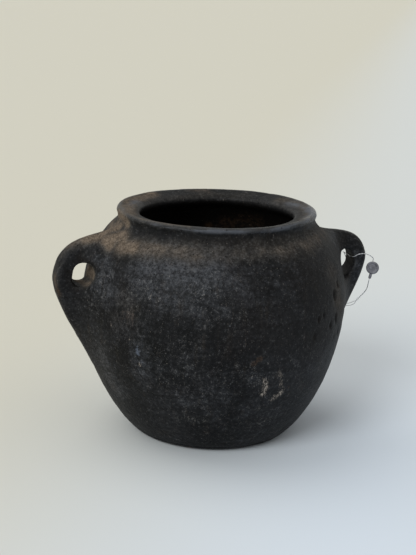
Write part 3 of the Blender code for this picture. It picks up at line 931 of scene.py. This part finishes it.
def root_share(points, gap, to_ear, within):
    """How far each point is smoothed into the wall: most beside the ears and on top of them."""
    near_ear = 1 - smooth_share(to_ear, *ROOT_REACH)
    beside = smooth_share(np.abs(points[:, 1]), *ROOT_SIDE)
    on_top = smooth_share(points[:, 2], *ROOT_TOP)
    most = ROOT_LEAST + (1 - ROOT_LEAST) * np.maximum(beside, on_top)
    near_root = (1 - smooth_share(gap, *ROOT_GAP)) * near_ear * most
    return np.maximum(near_root, ROOT_TOUCH * near_ear) * (1 - within)


def smooth_roots(clay, share, passes):
    """Smooths the ears' roots into the wall, each point as far as its share says."""
    group = clay.vertex_groups.new(name="roots")
    steps = np.round(share * ROOT_LEVELS).astype(int)
    for step in range(1, ROOT_LEVELS + 1):
        chosen = np.nonzero(steps == step)[0].tolist()
        if chosen:
            group.add(chosen, step / ROOT_LEVELS, "REPLACE")
    smooth_over(clay, passes, group.name)
    clay.vertex_groups.clear()


def on_outline(points, index, outline):
    """Where each point's nearest point of the turned section lies, at the point's own angle."""
    angle = np.arctan2(points[:, 1], points[:, 0])
    radius = outline[index, 0]
    return np.stack([radius * np.cos(angle), radius * np.sin(angle), outline[index, 1]], axis=1)


def hand_marks(points, form, calm):
    """How far the hand-formed surface stands out or in at each point."""
    raised = np.zeros(len(points))
    for waves, shift, share in HAND_WAVES:
        raised += share * waves_at(points, waves, shift)
    raised *= form.unevenness * calm
    for place, half_width, half_height, depth in PITS:
        away = points - np.array(place) * MM
        sideways = np.hypot(away[:, 0], away[:, 1]) / (half_width * MM)
        upwards = away[:, 2] / (half_height * MM)
        raised -= depth * MM * np.exp(-(sideways ** 2 + upwards ** 2))
    chance = np.random.default_rng(DENT_SEED)
    for _ in range(DENT_COUNT):
        centre = points[chance.integers(len(points))]
        reach = chance.uniform(*DENT_REACH) * MM
        depth = chance.uniform(*DENT_DEPTH) * MM
        away = np.sum((points - centre) ** 2, axis=1)
        close = np.nonzero(away < (3 * reach) ** 2)[0]
        raised[close] -= depth * calm[close] * np.exp(-away[close] / reach ** 2)
    return np.minimum(raised, MOST_RAISED)


def belly_lean(points, form):
    """How far the leaning belly moves each point to the camera's left."""
    side = np.array((-math.cos(CAMERA_TURN), math.sin(CAMERA_TURN), 0))
    height = points[:, 2] / form.height
    swell = np.clip(np.sin(math.pi * np.clip(height / LEAN_TOP, 0, 1)), 0, 1) ** 2
    return side * (form.lean * swell)[:, None]


def line_distance(points, line):
    """Each point's distance from a line through one place or more."""
    line = np.array(line) * MM
    nearest = np.linalg.norm(points - line[0], axis=1)
    for start, end in zip(line, line[1:]):
        along = end - start
        share = np.clip((points - start) @ along / (along @ along), 0, 1)
        nearest = np.minimum(nearest, np.linalg.norm(points - start - share[:, None] * along, axis=1))
    return nearest


def paint(points, name, inside):
    """The strength of one kind of mark at each point. Silt lies inside, scorch anywhere, the rest outside."""
    strength = np.zeros(len(points))
    for line, reach, most in MARKS[name]:
        core, fade = MARK_CORE * reach * MM, MARK_FADE * reach * MM
        shown = 1 - smooth_share(line_distance(points, line), core, fade)
        strength = np.maximum(strength, most * shown)
    if name == "silt":
        strength *= inside
    elif name != "scorch":
        strength *= 1 - inside
    return strength


def add_values(mesh, name, values):
    """Keeps a number for each point of a mesh."""
    layer = mesh.attributes.new(name, "FLOAT", "POINT")
    layer.data.foreach_set("value", values.astype(np.float32))


def form_clay(form):
    """Forms the whole pot as one skin, and paints its marks on it as values of its points."""
    outline, inner_from = pot_outline(form)
    clay, trees = gather_clay(form, outline)
    points = read_vectors(clay.data, "co")
    index, gap = nearest_on_outline(points, outline)
    to_ear = ear_distance(points, trees)
    within = smooth_share(index - inner_from, *INSIDE_EDGE)
    smooth_roots(clay, root_share(points, gap, to_ear, within), form.root_passes)
    points = read_vectors(clay.data, "co")
    index, _ = nearest_on_outline(points, outline)
    keep = np.maximum(smooth_share(to_ear, *TURNED_FROM), within)[:, None]
    points = points + keep * (on_outline(points, index, outline) - points)
    write_points(clay.data, points)
    normals = read_vectors(clay.data, "normal")

    side, height = np.abs(points[:, 1]), points[:, 2]
    strap = (points[:, 0] > STRAP_FROM) & (side < STRAP_HALF_WIDTH) & (height > STRAP_LOW)
    calm = neighbour_mean(clay.data, np.where(strap, STRAP_CALM, 1.0), passes=12)
    raised = hand_marks(points, form, calm) * smooth_share(height, *FOOT_FADE)
    moved = points + normals * raised[:, None] + belly_lean(points, form) * calm[:, None]
    write_points(clay.data, moved)

    # How far each point stands out from its neighbours: its hollows are given painted shade, its ridges wear
    bulge = np.sum((moved - neighbour_mean(clay.data, moved)) * read_vectors(clay.data, "normal"), axis=1)
    add_values(clay.data, "convexity", neighbour_mean(clay.data, np.clip(bulge / CONVEXITY_FULL, -1, 1), passes=5))
    add_values(clay.data, "inside", smooth_share(index - inner_from, *INSIDE_FADE))
    for name in MARKS:
        add_values(clay.data, name, paint(points, name, within))
    clay.hide_render = True
    return clay


class Pattern:
    """The painted values of the whole pot, to be looked up by place."""

    def __init__(self, mesh):
        points = read_vectors(mesh, "co")
        self.tree = kdtree.KDTree(len(points))
        for i, point in enumerate(points):
            self.tree.insert(point, i)
        self.tree.balance()
        self.values = {}
        for name in VALUES:
            self.values[name] = np.empty(len(points), np.float32)
            mesh.attributes[name].data.foreach_get("value", self.values[name])

    def copy_to(self, mesh):
        """Gives a cut piece the values of the nearest points of the whole pot."""
        nearest = np.array([self.tree.find(point)[1] for point in read_vectors(mesh, "co")])
        for name, values in self.values.items():
            if name in mesh.attributes:
                mesh.attributes.remove(mesh.attributes[name])
            add_values(mesh, name, values[nearest])


def clean_seams(mesh):
    """Welds the slivers that cutting leaves along a piece's seams, and takes off flakes of no thickness."""
    shape = bmesh.new()
    shape.from_mesh(mesh)
    bmesh.ops.triangulate(shape, faces=shape.faces)
    bmesh.ops.remove_doubles(shape, verts=shape.verts, dist=SEAM_WELD)
    bmesh.ops.dissolve_degenerate(shape, dist=SEAM_WELD, edges=shape.edges)
    corners = {}
    for face in shape.faces:
        corners.setdefault(frozenset(face.verts), []).append(face)
    flakes = [face for pair in corners.values() if len(pair) > 1 for face in pair]
    bmesh.ops.delete(shape, geom=flakes, context="FACES")
    shape.to_mesh(mesh)
    shape.free()


def finish_clay(piece, node, material, pattern):
    """Cleans and paints a clay piece, and sets it in the place of its node."""
    clean_seams(piece.data)
    pattern.copy_to(piece.data)
    dress(piece.data, material)
    piece.hide_render = False
    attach(piece, "pot")
    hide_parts(node)


# Finishes


class Finish:
    """One material, whose nodes are added as they are called for."""

    def __init__(self, name, roughness=0.5, metallic=0.0, specular=0.5):
        self.material = bpy.data.materials.new(name)
        self.material.use_nodes = True
        self.tree = self.material.node_tree
        self.shader = self.tree.nodes["Principled BSDF"]
        self.shader.inputs["Roughness"].default_value = roughness
        self.shader.inputs["Metallic"].default_value = metallic
        self.shader.inputs["Specular IOR Level"].default_value = specular
        self.place = self.node("TexCoord").outputs["Object"]

    def put(self, socket, value):
        """Links a socket's value, or writes it into the socket."""
        if isinstance(value, bpy.types.NodeSocket):
            self.tree.links.new(value, socket)
        elif hasattr(value, "__len__") and socket.type == "RGBA":
            socket.default_value = (*value, 1)
        else:
            socket.default_value = value

    def node(self, kind, values=None, **settings):
        """Adds a node with its settings, and with values or links for its inputs."""
        made = self.tree.nodes.new(f"ShaderNode{kind}")
        for name, setting in settings.items():
            setattr(made, name, setting)
        for socket, value in (values or {}).items():
            self.put(made.inputs[socket], value)
        return made

    def stretched(self, scale):
        """Object coordinates, scaled along each axis."""
        return self.node("Mapping", {"Vector": self.place, "Scale": scale}).outputs[0]

    def noise(self, scale, detail=2.0, roughness=0.5, place=None, distortion=0.0):
        values = {"Vector": place or self.place, "Scale": scale, "Detail": detail}
        values.update({"Roughness": roughness, "Distortion": distortion})
        return self.node("TexNoise", values).outputs[0]

    def cells(self, scale):
        """Distance from the middle of each cell, and a random number for each cell."""
        made = self.node("TexVoronoi", {"Vector": self.place, "Scale": scale})
        split = self.node("SeparateColor", {0: made.outputs["Color"]})
        return made.outputs["Distance"], split.outputs[0]

    def math(self, operation, *values):
        return self.node("Math", dict(enumerate(values)), operation=operation).outputs[0]

    def times(self, first, second):
        return self.math("MULTIPLY", first, second)

    def plus(self, first, *others):
        """The sum of two values or more."""
        for other in others:
            first = self.math("ADD", first, other)
        return first

    def sway(self, value, amount):
        """A noise value turned into a push of up to half the amount either way."""
        return self.math("MULTIPLY_ADD", value, amount, -amount / 2)

    def ramp(self, value, low, high, bottom=0.0, top=1.0):
        """A value eased from bottom to top as it goes from low to high."""
        values = dict(enumerate((value, low, high, bottom, top)))
        return self.node("MapRange", values, interpolation_type="SMOOTHSTEP").outputs[0]

    def blend(self, share, first, second, kind="MIX"):
        """The first colour, with a share of the second over it."""
        values = {0: share, 6: first, 7: second}
        return self.node("Mix", values, data_type="RGBA", blend_type=kind).outputs[2]

    def painted(self, name):
        return self.node("Attribute", attribute_name=name).outputs["Fac"]

    def bump(self, height, distance, strength):
        made = self.node("Bump", {"Strength": strength, "Distance": distance, "Height": height})
        self.put(self.shader.inputs["Normal"], made.outputs[0])


def burnished_clay(look):
    """Smoke-fired clay: sooty black and ash, blue-grey bloom partly painted as sheen, run-offs, grit, dust,
    scuffs and worn edges, with painted shade in hollows and pits and a painted highlight on the lip.
    """
    f = Finish("burnished_clay", look.roughness, specular=look.gloss)
    broad = f.noise(13, 3)
    patch = f.noise(44, 5, 0.62, distortion=0.4)
    cloud = f.noise(95, 4, 0.6)
    grit = f.noise(340, 4, 0.7)
    fine = f.noise(1050, 3, 0.65)
    grain = f.plus(f.times(fine, 0.55), f.times(grit, 0.45))
    strokes = f.noise(1, 3, 0.55, f.stretched((30, 30, 300)))
    runs = f.noise(1, 3, 0.6, f.stretched((170, 170, 14)))
    streaks = f.noise(1, 3, 0.6, f.stretched((900, 900, 200)))
    squiggle = f.noise(120, 2, 0.5, distortion=1.5)
    pore_gap, pore_luck = f.cells(330)
    stone_gap, stone_luck = f.cells(400)
    convexity, inside, dust = f.painted("convexity"), f.painted("inside"), f.painted("dust")

    # The fired wall
    clay = f.blend(f.ramp(f.plus(broad, f.sway(patch, 0.6)), 0.3, 0.7), look.soot_and_shade, look.ash)
    # Bloom, partly a painted sheen: lighter bluish grey where the bloom marks lie
    bloom_and_painted_sheen = f.ramp(f.plus(f.painted("bloom_and_painted_sheen"), f.sway(patch, 1.5), f.sway(cloud, 0.9)), 0.05, 1.05)
    clay = f.blend(f.times(bloom_and_painted_sheen, f.ramp(grain, 0.38, 0.56, 0.3, 1.0)), clay, look.slate)
    brown = f.times(f.ramp(runs, 0.5, 0.8), f.ramp(cloud, 0.42, 0.7, 0.05, 0.4))
    clay = f.blend(brown, clay, look.umber)
    rough_tone = f.ramp(f.plus(grit, f.sway(strokes, 0.5)), 0.28, 0.74, 0.35, 1.65)
    clay = f.blend(0.85, clay, rough_tone, "MULTIPLY")
    thick = f.plus(f.ramp(cloud, 0.4, 0.7, 0.14, 0.42), f.times(f.painted("speckle"), 0.6))
    clay = f.blend(f.times(f.ramp(grain, 0.53, 0.66), thick), clay, look.fleck)
    stones = f.times(f.ramp(stone_gap, 0.12, 0.3, 1.0, 0.0), f.ramp(stone_luck, 0.94, 0.96))
    clay = f.blend(f.times(stones, f.ramp(cloud, 0.42, 0.65, 0.05, 0.6)), clay, look.fleck)

    # Painted shade in the hollows and along the shade marks, dust, scorches and worn edges
    # Painted shade: where the convexity is below zero, in the hollows, the clay is darkened towards its
    # blackest colour
    clay = f.blend(f.ramp(convexity, -0.7, -0.05, 0.55, 0.0), clay, look.soot_and_shade)
    # Painted shade, partly sooted clay: the shade marks darkened towards the colour of the inside
    clay = f.blend(f.times(f.painted("soot_and_shade"), 0.85), clay, look.hollow)
    dusty = f.ramp(f.plus(dust, f.sway(patch, 0.55), f.sway(cloud, 0.5), f.sway(grit, 0.6)), 0.07, 1.02)
    tan = f.blend(f.ramp(f.plus(dust, f.sway(cloud, 0.5)), 0.4, 0.95), look.haze, look.dust)
    tan = f.blend(f.ramp(grain, 0.4, 0.6, 0.75, 0.0), tan, look.umber)
    clay = f.blend(f.times(dusty, 0.9), clay, tan)
    burnt = f.ramp(f.plus(f.painted("scorch"), f.sway(grit, 1.2), f.sway(runs, 0.8)), 0.2, 1.0)
    clay = f.blend(f.times(burnt, 0.65), clay, look.ember)
    worn = f.ramp(f.plus(convexity, f.sway(patch, 0.6)), 0.3, 1.2)
    clay = f.blend(f.times(worn, 0.35), clay, f.blend(grit, look.slate, look.fleck))

    # The inside
    sooty = f.blend(f.times(burnt, 0.5), look.hollow, look.ember)
    settled = f.times(f.painted("silt"), f.ramp(f.plus(cloud, f.sway(grit, 0.6)), 0.3, 0.7, 0.3, 0.8))
    clay = f.blend(f.times(inside, 0.95), clay, f.blend(settled, sooty, look.dust))

    # Handling marks, a painted highlight on the lip, pores, and painted shade in the pits
    limed = f.ramp(f.plus(f.painted("smear"), f.sway(grit, 2.2), f.sway(fine, 1.6)), 0.3, 1.3)
    clay = f.blend(f.times(limed, 0.7), clay, look.smear)
    scuffed = f.ramp(f.plus(f.painted("scuff"), f.sway(streaks, 2.6), f.sway(fine, 1.8)), 0.4, 1.35)
    clay = f.blend(f.times(scuffed, 0.9), clay, look.chalk)
    # Painted highlight: the lip's reflection painted in broken streaks of bluish colour where the polish mark
    # lies
    highlit = f.ramp(f.plus(strokes, f.sway(patch, 0.5)), 0.44, 0.64, 0.05, 1.0)
    clay = f.blend(f.times(f.painted("polish_and_painted_highlight"), highlit), clay, look.painted_sheen)
    lines = f.ramp(f.math("ABSOLUTE", f.plus(squiggle, -0.5)), 0.004, 0.022, 1.0, 0.0)
    clay = f.blend(f.times(f.times(lines, f.painted("scratch")), 0.55), clay, look.fleck)
    pores = f.times(f.ramp(pore_gap, 0.1, 0.3, 1.0, 0.0), f.ramp(pore_luck, 0.68, 0.74))
    clay = f.blend(f.times(pores, 0.8), clay, look.soot_and_shade)
    # Painted shade: the pits darkened towards the colour of the inside
    clay = f.blend(f.times(f.painted("pit_shade"), 0.9), clay, look.hollow)
    f.put(f.shader.inputs["Base Color"], clay)

    shine = f.plus(
        look.roughness, f.sway(patch, 0.2), f.sway(strokes, 0.14), f.times(dusty, 0.3), f.times(inside, 0.2),
        f.times(f.ramp(convexity, 0.1, 0.9), -0.2), f.times(f.painted("polish_and_painted_highlight"), -0.22),
    )
    f.put(f.shader.inputs["Roughness"], f.ramp(shine, 0.0, 1.0))
    relief = f.plus(f.times(grit, 0.7), f.times(strokes, 0.4), f.times(fine, 0.5), f.times(pores, -0.9))
    f.bump(relief, 0.5 * MM, 0.9)
    return f.material


def dull_steel(look):
    """Galvanised wire, gone dull in patches."""
    f = Finish("dull_steel", 0.4, 1.0)
    blotch = f.noise(260, 3, 0.6)
    grain = f.noise(1, 2, 0.5, f.stretched((2500, 2500, 600)))
    tone = f.blend(f.ramp(blotch, 0.4, 0.65), look.steel, [c * 0.6 for c in look.steel])
    f.put(f.shader.inputs["Base Color"], tone)
    f.put(f.shader.inputs["Roughness"], f.ramp(f.plus(blotch, f.sway(grain, 0.5)), 0.3, 0.8, 0.3, 0.6))
    f.bump(grain, 0.04 * MM, 0.5)
    return f.material


def pressed_lead(look):
    """Soft lead with a mottled oxide skin and the scratches of handling."""
    f = Finish("pressed_lead", 0.5, 0.55)
    blotch = f.noise(420, 4, 0.65)
    scratch = f.noise(1, 2, 0.5, f.stretched((350, 350, 2600)))
    tone = f.blend(f.ramp(blotch, 0.38, 0.66), look.lead, look.oxide)
    tone = f.blend(f.ramp(scratch, 0.62, 0.75, 0.0, 0.5), tone, [c * 0.5 for c in look.lead])
    f.put(f.shader.inputs["Base Color"], tone)
    f.put(f.shader.inputs["Roughness"], f.ramp(blotch, 0.3, 0.7, 0.42, 0.68))
    f.bump(f.plus(blotch, f.times(scratch, 0.5)), 0.12 * MM, 0.6)
    return f.material


# Wire and seal


def smooth_route(route, steps=12):
    """Points on a Catmull-Rom curve through a route's own points."""
    route = np.array(route) * MM
    ends = np.concatenate([[2 * route[0] - route[1]], route, [2 * route[-1] - route[-2]]])
    runs = []
    for before, start, end, after in zip(ends, ends[1:], ends[2:], ends[3:]):
        runs.append(bezier(start, start + (end - before) / 6, end - (after - start) / 6, end, steps)[:-1])
    return np.concatenate([*runs, route[-1:]])


def twisted_strands(look):
    """The lines of the wire's two strands, which wind round the route and part below the ear."""
    middle = resample(smooth_route(WIRE_ROUTE), WIRE_STEP)
    along = np.gradient(middle, axis=0)
    along /= np.linalg.norm(along, axis=1)[:, None]
    side = np.cross(along[0], (0, 1, 0))
    sides = []
    for way in along:
        side = side - way * np.dot(side, way)
        side = side / np.linalg.norm(side)
        sides.append(side)
    sides = np.array(sides)
    backs = np.cross(along, sides)
    parted = np.linalg.norm(middle - np.array(WIRE_ROUTE[PARTING_POINT]) * MM, axis=1)
    apart = np.exp(-((parted / PARTING_REACH) ** 2))
    turn = np.cumsum(math.tau * WIRE_STEP / look.twist * (1 - apart))
    middlemost = int(np.argmin(parted))
    across = np.cross(along[middlemost], (math.sin(CAMERA_TURN), math.cos(CAMERA_TURN), 0))
    turn += math.atan2(across @ backs[middlemost], across @ sides[middlemost]) - turn[middlemost]
    reach = (look.strand + look.spread * apart)[:, None]
    lines = []
    for half in (0, math.pi):
        way = np.cos(turn + half)[:, None] * sides + np.sin(turn + half)[:, None] * backs
        lines.append(middle + reach * way)
    return lines


def twist_wire(look):
    """Both strands as round wires, made one mesh."""
    curve = bpy.data.curves.new("strands", "CURVE")
    curve.dimensions = "3D"
    curve.bevel_depth = look.strand
    curve.bevel_resolution = 2
    curve.use_fill_caps = True
    for line in twisted_strands(look):
        spline = curve.splines.new("POLY")
        spline.points.add(len(line) - 1)
        for knot, point in zip(spline.points, line):
            knot.co = (*point, 1)
    strands = link("strands", curve)
    mesh = bpy.data.meshes.new_from_object(strands.evaluated_get(bpy.context.evaluated_depsgraph_get()))
    bpy.data.objects.remove(strands)
    bpy.data.curves.remove(curve)
    mesh.name = "twisted_wire"
    mesh.materials.clear()
    mesh.materials.append(dull_steel(look))
    mesh.shade_smooth()
    return link("twisted_wire", mesh)


def add_rod(shape, start, end, radius, segments=32):
    """A closed round rod between two points, added to a bmesh."""
    along = end - start
    turn = along.to_track_quat("Z", "Y").to_matrix().to_4x4()
    bmesh.ops.create_cone(
        shape, cap_ends=True, segments=segments, radius1=radius, radius2=radius, depth=along.length,
        matrix=Matrix.Translation((start + end) / 2) @ turn,
    )


def press_seal(look):
    """A pressed lead disc with a raised edge, an off-centre boss, a crimped tail and two wire sockets."""
    radius, half = look.seal_radius, look.seal_thickness / 2
    sunk = half - SEAL_FACE_SINK
    face = np.array([
        (0, sunk), (radius - SEAL_RIM_FOOT, sunk), (radius - SEAL_RIM_TOP, half),
        (radius - SEAL_EDGE, half), (radius, half - SEAL_EDGE),
    ])
    outline = resample(np.concatenate([face * (1, -1), face[::-1]]), SEAL_OUTLINE_STEP)
    for corner in face[1:]:
        for side in (1, -1):
            outline = rounded(outline, corner * (1, side), *SEAL_EASING)
    shape = spin_shell(outline, SEAL_STEPS)
    bmesh.ops.rotate(shape, verts=shape.verts, cent=(0, 0, 0), matrix=Matrix.Rotation(math.pi / 2, 3, "X"))
    way = Vector((math.sin(TAIL_ANGLE), 0, -math.cos(TAIL_ANGLE)))
    tip = way * (radius + TAIL_LENGTH)
    add_rod(shape, way * radius / 2, tip, TAIL_RADIUS)
    seal = add_piece("pressed_seal", shape)
    skin_over(seal, SEAL_CELL)
    smooth_over(seal, SEAL_STROKES)

    points = read_vectors(seal.data, "co")
    boss = np.hypot(points[:, 0] - BOSS_SIDE, points[:, 2] - BOSS_UP)
    front = points[:, 1] < 0
    points[:, 1] -= front * BOSS_RISE * (1 - smooth_share(boss, *BOSS_ROUND))
    squeeze = waves_at(points, SQUEEZE_WAVES, SQUEEZE_SHIFT)
    points += read_vectors(seal.data, "normal") * (squeeze * SQUEEZE_DEPTH)[:, None]
    write_points(seal.data, points)

    sockets = bmesh.new()
    rim = Vector((0, 0, radius))
    up = Vector((0, 0, 1))
    add_rod(sockets, tip - way * SOCKET_DEPTH, tip + way * DRILL_REACH, SOCKET_RADIUS)
    add_rod(sockets, rim - up * SOCKET_DEPTH, rim + up * DRILL_REACH, SOCKET_RADIUS)
    drill = add_piece("seal_sockets", sockets)
    carve(seal, drill, "DIFFERENCE")
    drop(drill)
    turn = Matrix.Rotation(-SEAL_YAW, 4, "Z") @ Matrix.Rotation(-SEAL_LEAN, 4, "X")
    seal.data.transform(Matrix.Translation(SEAL_PLACE) @ turn)
    dress(seal.data, pressed_lead(look))
    return seal


# The stage


def pale_floor(look):
    """A pale paper floor with painted light: a yellowish painted tint far left and a bluish one near right,
    and clear when seen from below.
    """
    f = Finish("pale_floor", 0.85, specular=0.1)
    split = f.node("SeparateXYZ", {0: f.place})
    across = f.plus(split.outputs["X"], f.times(split.outputs["Y"], -0.55))
    tooth = f.noise(900, 3, 0.6)
    far = f.ramp(split.outputs["Y"], -0.25, 0.6, 1.0, 0.55)
    # Painted light: the floor's tint goes from yellowish far left to bluish near right
    tone = f.blend(f.times(f.ramp(across, -0.3, 0.2, 0.16, 0.95), far), look.warm_light_tint, look.cool_light_tint)
    tone = f.blend(0.04, tone, tooth, "MULTIPLY")
    f.put(f.shader.inputs["Base Color"], tone)
    f.bump(tooth, 0.1 * MM, 0.15)
    below = f.node("NewGeometry").outputs["Backfacing"]
    clear = f.node("BsdfTransparent").outputs[0]
    choice = f.node("MixShader", {0: below, 1: f.shader.outputs[0], 2: clear})
    f.put(f.tree.nodes["Material Output"].inputs["Surface"], choice.outputs[0])
    return f.material


def make_floor(look):
    """A wide round floor, open under the foot so that light reaches the pot's underside."""
    shape = bmesh.new()
    edge = bmesh.ops.create_circle(shape, segments=96, radius=FLOOR_RADIUS)["verts"]
    gap = bmesh.ops.create_circle(shape, segments=96, radius=FLOOR_GAP)["verts"]
    rims = {e for knot in edge + gap for e in knot.link_edges}
    bmesh.ops.bridge_loops(shape, edges=list(rims))
    shape.normal_update()
    if sum(face.normal.z for face in shape.faces) < 0:
        bmesh.ops.reverse_faces(shape, faces=shape.faces)
    floor = add_piece("pale_floor", shape)
    floor.data.materials.append(pale_floor(look))


def add_light(name, turn, rise, size, strength, colour):
    """A wide, soft, distant light.

    The turn is the way that its light travels, and the rise is its height in the sky.
    """
    lamp = bpy.data.lights.new(name, "SUN")
    lamp.angle = size
    lamp.energy = strength
    lamp.color = colour
    way = Vector((math.cos(turn) * math.cos(rise), math.sin(turn) * math.cos(rise), -math.sin(rise)))
    link(name, lamp).rotation_euler = way.to_track_quat("-Z", "Y").to_euler()


def make_sky(look):
    """Even pale light, which shows as a pale backdrop where the floor ends."""
    world = bpy.data.worlds.new("studio")
    bpy.context.scene.world = world
    world.use_nodes = True
    tree = world.node_tree
    even = tree.nodes["Background"]
    even.inputs["Color"].default_value = SKY_COLOUR
    even.inputs["Strength"].default_value = look.sky
    shown = tree.nodes.new("ShaderNodeBackground")
    shown.inputs["Color"].default_value = BACKDROP_COLOUR
    path = tree.nodes.new("ShaderNodeLightPath")
    seen = path.outputs["Is Camera Ray"]
    for name in ("Is Glossy Ray", "Is Transmission Ray"):
        either = tree.nodes.new("ShaderNodeMath")
        either.operation = "MAXIMUM"
        tree.links.new(seen, either.inputs[0])
        tree.links.new(path.outputs[name], either.inputs[1])
        seen = either.outputs[0]
    choice = tree.nodes.new("ShaderNodeMixShader")
    tree.links.new(seen, choice.inputs[0])
    tree.links.new(even.outputs[0], choice.inputs[1])
    tree.links.new(shown.outputs[0], choice.inputs[2])
    tree.links.new(choice.outputs[0], tree.nodes["World Output"].inputs["Surface"])


def make_camera():
    """The camera of the photo, with a long lens and slightly rolled."""
    lens = bpy.data.cameras.new("photo_angle")
    lens.lens = CAMERA_LENS
    lens.sensor_width = 36
    lens.clip_start = 0.01
    lens.clip_end = 50
    camera = link("photo_angle", lens)
    forward = Vector((
        math.sin(CAMERA_TURN) * math.cos(CAMERA_DIP),
        math.cos(CAMERA_TURN) * math.cos(CAMERA_DIP),
        -math.sin(CAMERA_DIP),
    ))
    camera.rotation_mode = "QUATERNION"
    camera.rotation_quaternion = forward.to_track_quat("-Z", "Y") @ Quaternion((0, 0, 1), CAMERA_ROLL)
    camera.location = CAMERA_PLACE
    bpy.context.scene.camera = camera


# Operators


class POT_OT_form_clay(bpy.types.Operator):
    """Form the wall and the ears as one skin of clay, ready to be cut into its pieces"""

    bl_idname = "pot.form_clay"
    bl_label = "Form the clay"

    def execute(self, context):
        clay = form_clay(context.scene.pot_form)
        clay.data.copy().name = "painted_clay"
        burnished_clay(context.scene.clay_finish)
        return {"FINISHED"}


class POT_OT_cut_ears(bpy.types.Operator):
    """Cut the two ears from the clay, each with a plug that is let into the wall"""

    bl_idname = "pot.cut_ears"
    bl_label = "Cut the ears"

    def execute(self, context):
        form = context.scene.pot_form
        clay = bpy.data.objects["raw_clay"]
        core = pot_core(form, EAR_PLUG)
        pattern = Pattern(bpy.data.meshes["painted_clay"])
        for ear in EARS:
            tool = add_piece("ear_tool", loft_ear(ear, form, EAR_SKIRT))
            carve(tool, core, "DIFFERENCE")
            piece = split_off(clay, tool, ear.name)
            finish_clay(piece, ear.node, bpy.data.materials["burnished_clay"], pattern)
            drop(tool)
        drop(core)
        return {"FINISHED"}


class POT_OT_cut_walls(bpy.types.Operator):
    """Cut the clay into the base, the three wall rings and the rim"""

    bl_idname = "pot.cut_walls"
    bl_label = "Cut the walls"

    def execute(self, context):
        clay = bpy.data.objects["raw_clay"]
        painted = bpy.data.meshes["painted_clay"]
        pattern = Pattern(painted)
        wall_clay = bpy.data.materials["burnished_clay"]
        plug_top = 3 * FLOOR
        slab = (
            (0, TOOL_LOW), (TOOL_WIDE, TOOL_LOW), (TOOL_WIDE, FOOT_LINE),
            (SLAB_PLUG, FOOT_LINE), (SLAB_PLUG, plug_top), (0, plug_top),
        )
        tools = [("clay_base", "base_slab", slab)]
        for name, node, top in (
            ("clay_lower_wall", "lower_wall", LOWER_JOINT),
            ("clay_belly", "belly_wall", BELLY_JOINT),
            ("clay_shoulder", "shoulder_wall", RIM_JOINT),
        ):
            tools.append((name, node, ((0, TOOL_LOW), (TOOL_WIDE, TOOL_LOW), (TOOL_WIDE, top), (0, top))))
        for name, node, outline in tools:
            tool = add_piece("wall_tool", spin_shell(outline, TOOL_STEPS))
            finish_clay(split_off(clay, tool, name), node, wall_clay, pattern)
            drop(tool)
        clay.name = "clay_rim"
        finish_clay(clay, "rim_collar", wall_clay, pattern)
        bpy.data.meshes.remove(painted)
        return {"FINISHED"}


class POT_OT_twist_wire(bpy.types.Operator):
    """Twist the sealing wire from two strands"""

    bl_idname = "pot.twist_wire"
    bl_label = "Twist the wire"

    def execute(self, context):
        wire = twist_wire(context.scene.seal_finish)
        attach(wire, "seal_tag")
        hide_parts("seal_wire")
        return {"FINISHED"}


class POT_OT_press_seal(bpy.types.Operator):
    """Press the lead seal on the wire's ends"""

    bl_idname = "pot.press_seal"
    bl_label = "Press the seal"

    def execute(self, context):
        seal = press_seal(context.scene.seal_finish)
        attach(seal, "seal_tag")
        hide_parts("lead_seal")
        return {"FINISHED"}


class POT_OT_set_stage(bpy.types.Operator):
    """Set the pale floor, the soft light and the camera"""

    bl_idname = "pot.set_stage"
    bl_label = "Set the stage"

    def execute(self, context):
        look = context.scene.stage_look
        make_floor(look)
        make_sky(look)
        add_light(
            "front_light", FRONT_LIGHT_TURN, FRONT_LIGHT_RISE, FRONT_LIGHT_SIZE,
            look.front, FRONT_LIGHT_COLOUR,
        )
        add_light(
            "back_light", BACK_LIGHT_TURN, BACK_LIGHT_RISE, BACK_LIGHT_SIZE,
            look.back, BACK_LIGHT_COLOUR,
        )
        make_camera()
        context.scene.view_settings.view_transform = "Standard"
        return {"FINISHED"}


STEPS = (
    POT_OT_form_clay, POT_OT_cut_ears, POT_OT_cut_walls,
    POT_OT_twist_wire, POT_OT_press_seal, POT_OT_set_stage,
)
GROUPS = (
    ("pot_form", PotForm), ("clay_finish", ClayFinish),
    ("seal_finish", SealFinish), ("stage_look", StageLook),
)


class POT_PT_bench(bpy.types.Panel):
    """The steps of making the pot, and its sizes and colours"""

    bl_idname = "POT_PT_bench"
    bl_label = "Blackware pot"
    bl_space_type = "VIEW_3D"
    bl_region_type = "UI"
    bl_category = "Pot"

    def draw(self, context):
        for step in STEPS:
            self.layout.operator(step.bl_idname)
        for group, _ in GROUPS:
            values = getattr(context.scene, group)
            box = self.layout.box()
            for name in values.bl_rna.properties.keys():
                if name not in ("rna_type", "name"):
                    box.prop(values, name)


def register():
    for name, group in GROUPS:
        bpy.utils.register_class(group)
        setattr(bpy.types.Scene, name, PointerProperty(type=group))
    for kind in (*STEPS, POT_PT_bench):
        bpy.utils.register_class(kind)


def unregister():
    for kind in (POT_PT_bench, *reversed(STEPS)):
        bpy.utils.unregister_class(kind)
    for name, group in reversed(GROUPS):
        delattr(bpy.types.Scene, name)
        bpy.utils.unregister_class(group)


def main():
    register()
    bpy.ops.pot.form_clay()
    bpy.ops.pot.cut_ears()
    bpy.ops.pot.cut_walls()
    bpy.ops.pot.twist_wire()
    bpy.ops.pot.press_seal()
    bpy.ops.pot.set_stage()


if __name__ == "__main__":
    main()
